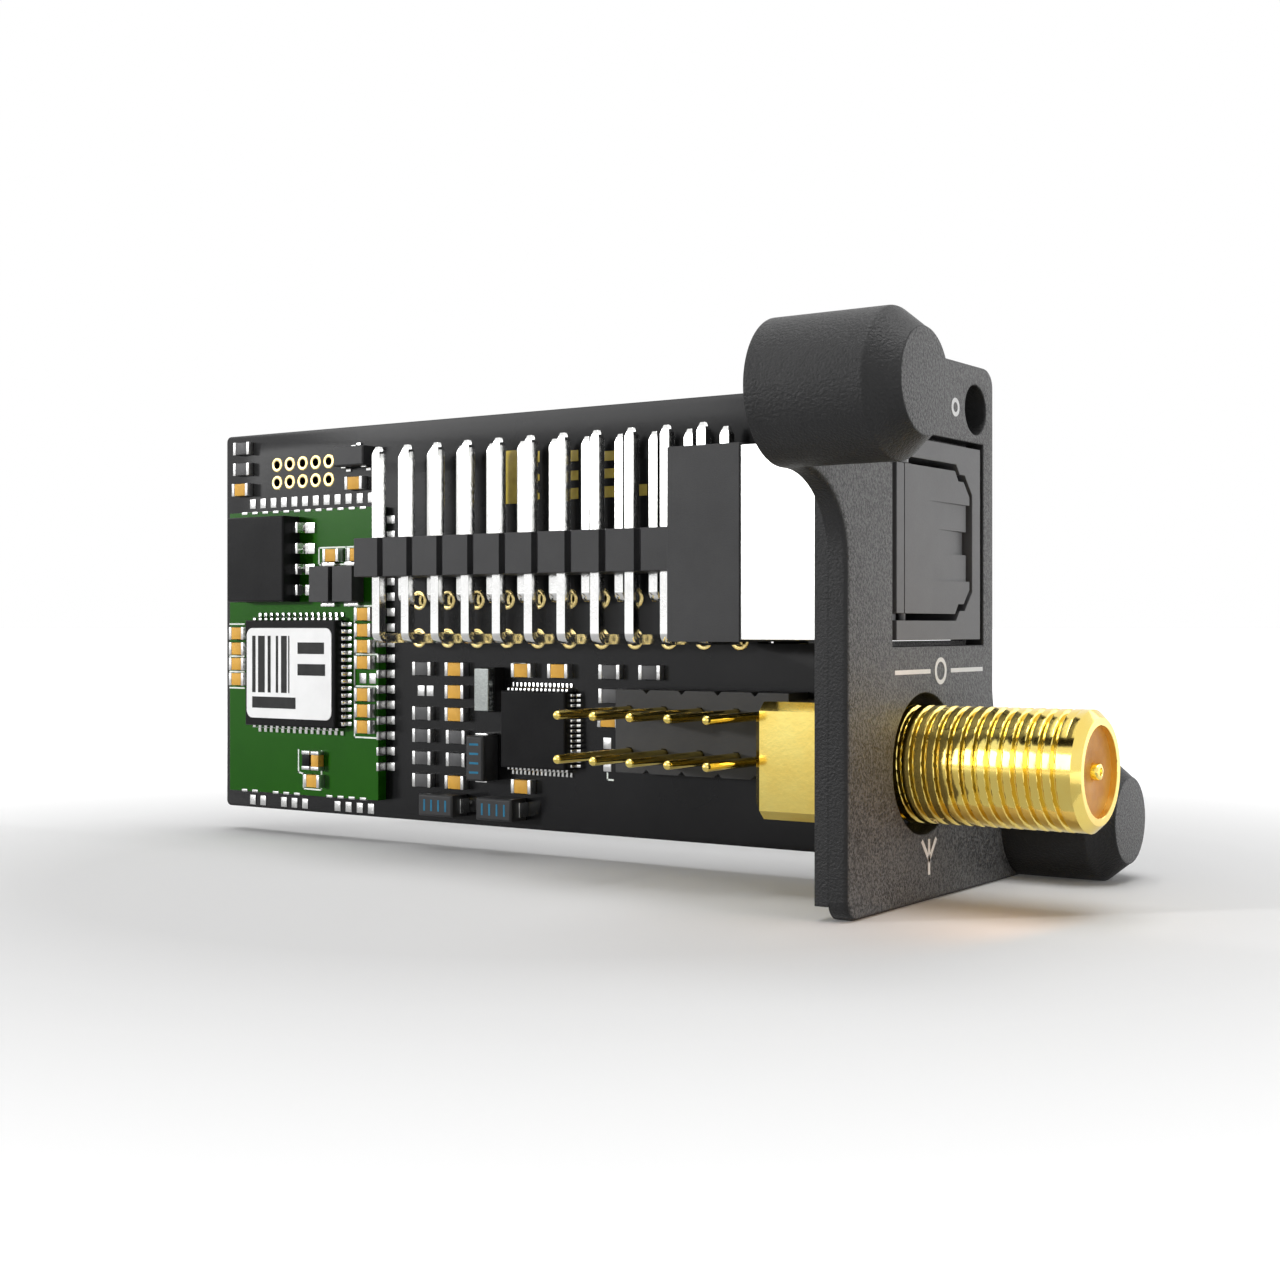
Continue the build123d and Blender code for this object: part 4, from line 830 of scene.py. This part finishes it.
def patches(areas, face, rise):
    # Flat rectangles on a board's face, each given as low x, high x, low z, high z
    lows = [(x0, min(face, face + rise), z0) for x0, x1, z0, z1 in areas]
    highs = [(x1, max(face, face + rise), z1) for x0, x1, z0, z1 in areas]
    return [boxes(lows, highs)]


radioPrint = dict(width=0.11, rise=-0.015, lines=[
    [(-56.66, 0.18), (-55.2, 0.18)], [(-56.66, -2.15), (-55.2, -2.15)], [(-56.66, -3.27), (-55.2, -3.27)],
    [(-56.66, -4.44), (-55.2, -4.44)], [(-42.2, 1.41), (-44.3, 1.41), (-44.3, -7.61), (-42.2, -7.61)],
    [(-44.3, -1.9), (-42.2, -1.9)], [(-44.3, -4.1), (-42.2, -4.1)],
    [(-47.69, 4.31), (-42.2, 4.31)], [(-47.69, 5.5), (-42.2, 5.5)], [(-47.69, 4.31), (-47.69, 5.5)],
    [(-45.1, 4.31), (-45.1, 5.5)],
    [(-49.69, -8.71), (-49.69, -10.27), (-49.2, -10.35), (-49.2, -11.4), (-47.45, -11.42), (-47.45, -8.7)]])
putMesh("radioPrint", strips(radioPrint["lines"], radioPrint["width"], radioFaceY, radioPrint["rise"]),
        "silkWhite", crease=30)

labelMark = dict(square=(-53.0, -49.3, -4.65, -0.65), rise=-0.012,
                 stripes=(0.0, 0.09, 0.16, 0.34, 0.42, 0.5, 0.64, 0.7, 0.78, 0.93, 0.97, 1.0),
                 bars=[(-48.5, -45.95, -1.9, -1.1), (-48.5, -45.85, -3.4, -2.6),
                       (-53.0, -48.7, -5.75, -4.95)])


def labelAreas(p):
    # The square is a set of upright stripes between pairs of shares of its width
    x0, x1, z0, z1 = p["square"]
    edges = [x0 + (x1 - x0) * share for share in p["stripes"]]
    return [(a, b, z0, z1) for a, b in zip(edges[::2], edges[1::2])] + p["bars"]


putMesh("labelMarks", patches(labelAreas(labelMark), panelBox("radio_chip_label")[0][1], labelMark["rise"]),
        "printBlack", crease=30)

powerMark = dict(count=4, along=0.62, across=0.26, thin=0.14, rise=-0.01)


def powerMarks(p):
    # A row of plain bars along each moulded block's face, over the middle of its width
    lows, highs = islands("power_capacitors")
    areas = []
    for low, high in zip(lows, highs):
        wide = high[0] - low[0] > high[2] - low[2]
        axis = 0 if wide else 2
        middle = (low + high) / 2
        reach = (high - low)[axis] / 2 * p["along"]
        half = (high - low)[2 - axis] * p["across"]
        span = (middle[2 - axis] - half, middle[2 - axis] + half)
        for share in np.linspace(-1, 1, p["count"]):
            at = middle[axis] + share * reach
            line = (at - p["thin"] / 2, at + p["thin"] / 2)
            areas.append((*line, *span) if wide else (*span, *line))
    return patches(areas, lows[:, 1].min(), p["rise"])


putMesh("powerMarks", powerMarks(powerMark), "markBlue", crease=30)

boardMark = dict(rise=-0.012, width=0.11, areas=[
    (-37.15, -36.86, 8.0, 11.4), (-34.67, -34.22, 9.0, 11.45), (-31.9, -30.66, 8.0, 11.46),
    (-29.3, -28.8, 8.2, 8.6), (-29.3, -28.8, 9.4, 9.8), (-29.3, -28.8, 10.6, 11.3),
    (-26.7, -25.7, 8.1, 8.8), (-26.7, -25.7, 9.3, 9.9), (-26.7, -25.7, 10.5, 11.2),
    (-23.7, -22.8, 8.1, 8.8), (-23.7, -22.8, 9.3, 9.9), (-23.7, -22.8, 10.4, 11.0), (-21.0, -20.4, 8.1, 8.8)],
    lines=[[(-23.42, -9.2), (-23.42, -9.6), (-23.0, -9.6)], [(-31.0, -2.42), (-30.0, -2.42)],
           [(-31.0, -5.75), (-30.0, -5.75)]])
putMesh("boardMarks", patches(boardMark["areas"], mainFaceY, boardMark["rise"]), "printGold", crease=30)
putMesh("boardPrint", strips(boardMark["lines"], boardMark["width"], mainFaceY, boardMark["rise"]),
        "silkWhite", crease=30)

plateMark = dict(rise=0.014, width=0.24, rings=[(1.8, -2.42, 0.62), (3.7, 12.2, 0.4)],
                 rays=[[(-3.6, -2.42), (0.4, -2.42)], [(3.2, -2.42), (7.2, -2.42)]],
                 fork=[[(0.35, -13.3), (0.35, -11.6)], [(-0.45, -11.6), (0.35, -12.6)],
                       [(1.15, -11.6), (0.35, -12.6)]])


def ringMark(y, z, radius, p):
    # A square section turned about the plate's normal
    inner, outer, rise = radius - p["width"] / 2, radius + p["width"] / 2, p["rise"]
    section = [(-rise, inner), (rise, inner), (rise, outer), (-rise, outer), (-rise, inner)]
    return turned(section, 0, (0, y, z), 40)


def plateMarkShapes(p):
    # Plain signs: a ring with a ray to each side below the window, an open fork below the jack and a
    # small ring beside the light
    shapes = strips(p["rays"] + p["fork"], p["width"], -p["rise"], 2 * p["rise"], axis=0)
    return shapes + [ringMark(y, z, radius, p) for y, z, radius in p["rings"]]


putMesh("plateMarks", plateMarkShapes(plateMark), "printWhite", crease=30)
print("marks made")


# Camera at the photograph's place, floor, backdrop and lamps

studio = dict(
    focal=51.06, shift=-0.0105, camera=(43.04, -89.25, 0.0), look=(-0.5693, 0.8221, 0.0), worldGlow=0.1,
    floor=0.78, floorRough=0.6, floorGloss=0.1, floorHalf=20, floorGlow=(0.04, 1.0), floorFade=(0.03, 0.13),
    card=(-0.4, 0.06, -0.4, -0.004), cardLift=0.0002, cardGlow=(0.5, 1.1), cardFade=(0.03, 0.18),
    aim=(0.0, 0.0, 0.012),
    lamps=[dict(name="keyLamp", power=1.5, size=(0.016, 0.016), place=(-0.26, -0.31, 0.055), glossy=False),
           dict(name="wallSoftbox", power=0.85, size=(0.34, 0.2), place=(-0.24, -0.3, 0.145), diffuse=False),
           dict(name="backSoftbox", power=0.45, size=(0.4, 0.3), place=(0.3, 0.4, 0.16), diffuse=False),
           dict(name="topSoftbox", power=1.15, size=(0.3, 0.3), place=(0.04, 0.0, 0.42)),
           dict(name="frontFill", power=0.48, size=(0.1, 0.1), place=(0.4, -0.01, 0.05), glossy=False),
           dict(name="goldGlow", power=0.0003, size=(0.006, 0.006), place=(0.0335, -0.0065, 0.0062),
                glossy=False, colour=(1.0, 0.42, 0.08), aim=(0.02, -0.004, 0.0062))])


def makeCamera(s):
    # Its place is in panel millimetres, and it looks level along the way that look gives
    data = bpy.data.cameras.new("photoCamera")
    data.sensor_width = 36
    data.lens = s["focal"]
    data.shift_y = s["shift"]
    data.clip_start, data.clip_end = 0.001, 10
    camera = bpy.data.objects.new("photoCamera", data)
    camera.location = np.array(s["camera"]) * mm + panelOrigin
    camera.rotation_euler = Vector(s["look"]).to_track_quat("-Z", "Y").to_euler()
    scene.collection.objects.link(camera)
    scene.camera = camera


def makeLamp(name, power, size, place, aim, glossy=True, diffuse=True, colour=(1, 1, 1)):
    # A rectangle of light that the camera doesn't see, turned to face its aim
    data = bpy.data.lights.new(name, "AREA")
    data.shape = "RECTANGLE"
    data.energy = power
    data.size, data.size_y = size
    data.color = colour
    lamp = bpy.data.objects.new(name, data)
    lamp.location = place
    lamp.rotation_euler = (Vector(place) - Vector(aim)).to_track_quat("Z", "Y").to_euler()
    lamp.visible_camera = False
    lamp.visible_glossy = glossy
    lamp.visible_diffuse = diffuse
    scene.collection.objects.link(lamp)


def seenDirectly(tree):
    # 1 for rays from the camera and from mirrors and glass, 0 for rays that light the object
    path = addNode(tree, "ShaderNodeLightPath")
    both = addNode(tree, "ShaderNodeMath", operation="MAXIMUM")
    tree.links.new(path.outputs["Is Camera Ray"], both.inputs[0])
    tree.links.new(path.outputs["Is Glossy Ray"], both.inputs[1])
    three = addNode(tree, "ShaderNodeMath", operation="MAXIMUM")
    tree.links.new(both.outputs[0], three.inputs[0])
    tree.links.new(path.outputs["Is Transmission Ray"], three.inputs[1])
    return three.outputs[0]


def makeWorld(s):
    # White where it is seen or mirrored, and faint where it lights the object
    world = bpy.data.worlds.new("paleStudio")
    world.use_nodes = True
    tree = world.node_tree
    background = tree.nodes["Background"]
    background.inputs["Color"].default_value = (1, 1, 1, 1)
    tree.links.new(ranged(tree, seenDirectly(tree), 0, 1, s["worldGlow"], 1.0), background.inputs["Strength"])
    scene.world = world


def flatSheet(name, x0, x1, y0, y1, z):
    # A level rectangle of the studio, with a paint of its own
    mesh = bpy.data.meshes.new(name)
    mesh.from_pydata([(x0, y0, z), (x1, y0, z), (x1, y1, z), (x0, y1, z)], [], [(0, 1, 2, 3)])
    material = bpy.data.materials.new(name + "Paint")
    material.use_nodes = True
    mesh.materials.append(material)
    obj = bpy.data.objects.new(name, mesh)
    scene.collection.objects.link(obj)
    return obj, material.node_tree


def distanceFrom(tree):
    # How far a point lies from the frame's origin
    away = addNode(tree, "ShaderNodeVectorMath", operation="LENGTH")
    tree.links.new(addNode(tree, "ShaderNodeTexCoord").outputs["Object"], away.inputs[0])
    return away.outputs["Value"]


def makeFloor(s):
    # A pale sheet whose own glow, for the camera and mirrors, grows with distance until it is white
    half = s["floorHalf"]
    tree = flatSheet("floor", -half, half, -half, half, cadBox[0].z)[1]
    shader = tree.nodes["Principled BSDF"]
    shader.inputs["Base Color"].default_value = (s["floor"], s["floor"], s["floor"], 1)
    shader.inputs["Roughness"].default_value = s["floorRough"]
    shader.inputs["Specular IOR Level"].default_value = s["floorGloss"]
    shader.inputs["Emission Color"].default_value = (1, 1, 1, 1)
    glow = ranged(tree, distanceFrom(tree), *s["floorFade"], *s["floorGlow"])
    strength = addNode(tree, "ShaderNodeMath", operation="MULTIPLY")
    tree.links.new(glow, strength.inputs[0])
    tree.links.new(seenDirectly(tree), strength.inputs[1])
    tree.links.new(strength.outputs[0], shader.inputs["Emission Strength"])


def makeFloorCard(s):
    # A darker card that lies before the object and shows only in its gloss, as a studio flag does. It
    # grows brighter with distance
    obj, tree = flatSheet("floorCard", *s["card"], cadBox[0].z + s["cardLift"])
    shader = tree.nodes["Principled BSDF"]
    shader.inputs["Base Color"].default_value = (0, 0, 0, 1)
    shader.inputs["Specular IOR Level"].default_value = 0.0
    shader.inputs["Emission Color"].default_value = (1, 1, 1, 1)
    tree.links.new(ranged(tree, distanceFrom(tree), *s["cardFade"], *s["cardGlow"]),
                   shader.inputs["Emission Strength"])
    obj.visible_camera = False
    obj.visible_diffuse = False
    obj.visible_shadow = False
    obj.visible_transmission = False


makeCamera(studio)
makeWorld(studio)
makeFloor(studio)
makeFloorCard(studio)
for lamp in studio["lamps"]:
    makeLamp(**{"aim": studio["aim"], **lamp})
print("camera and light made")
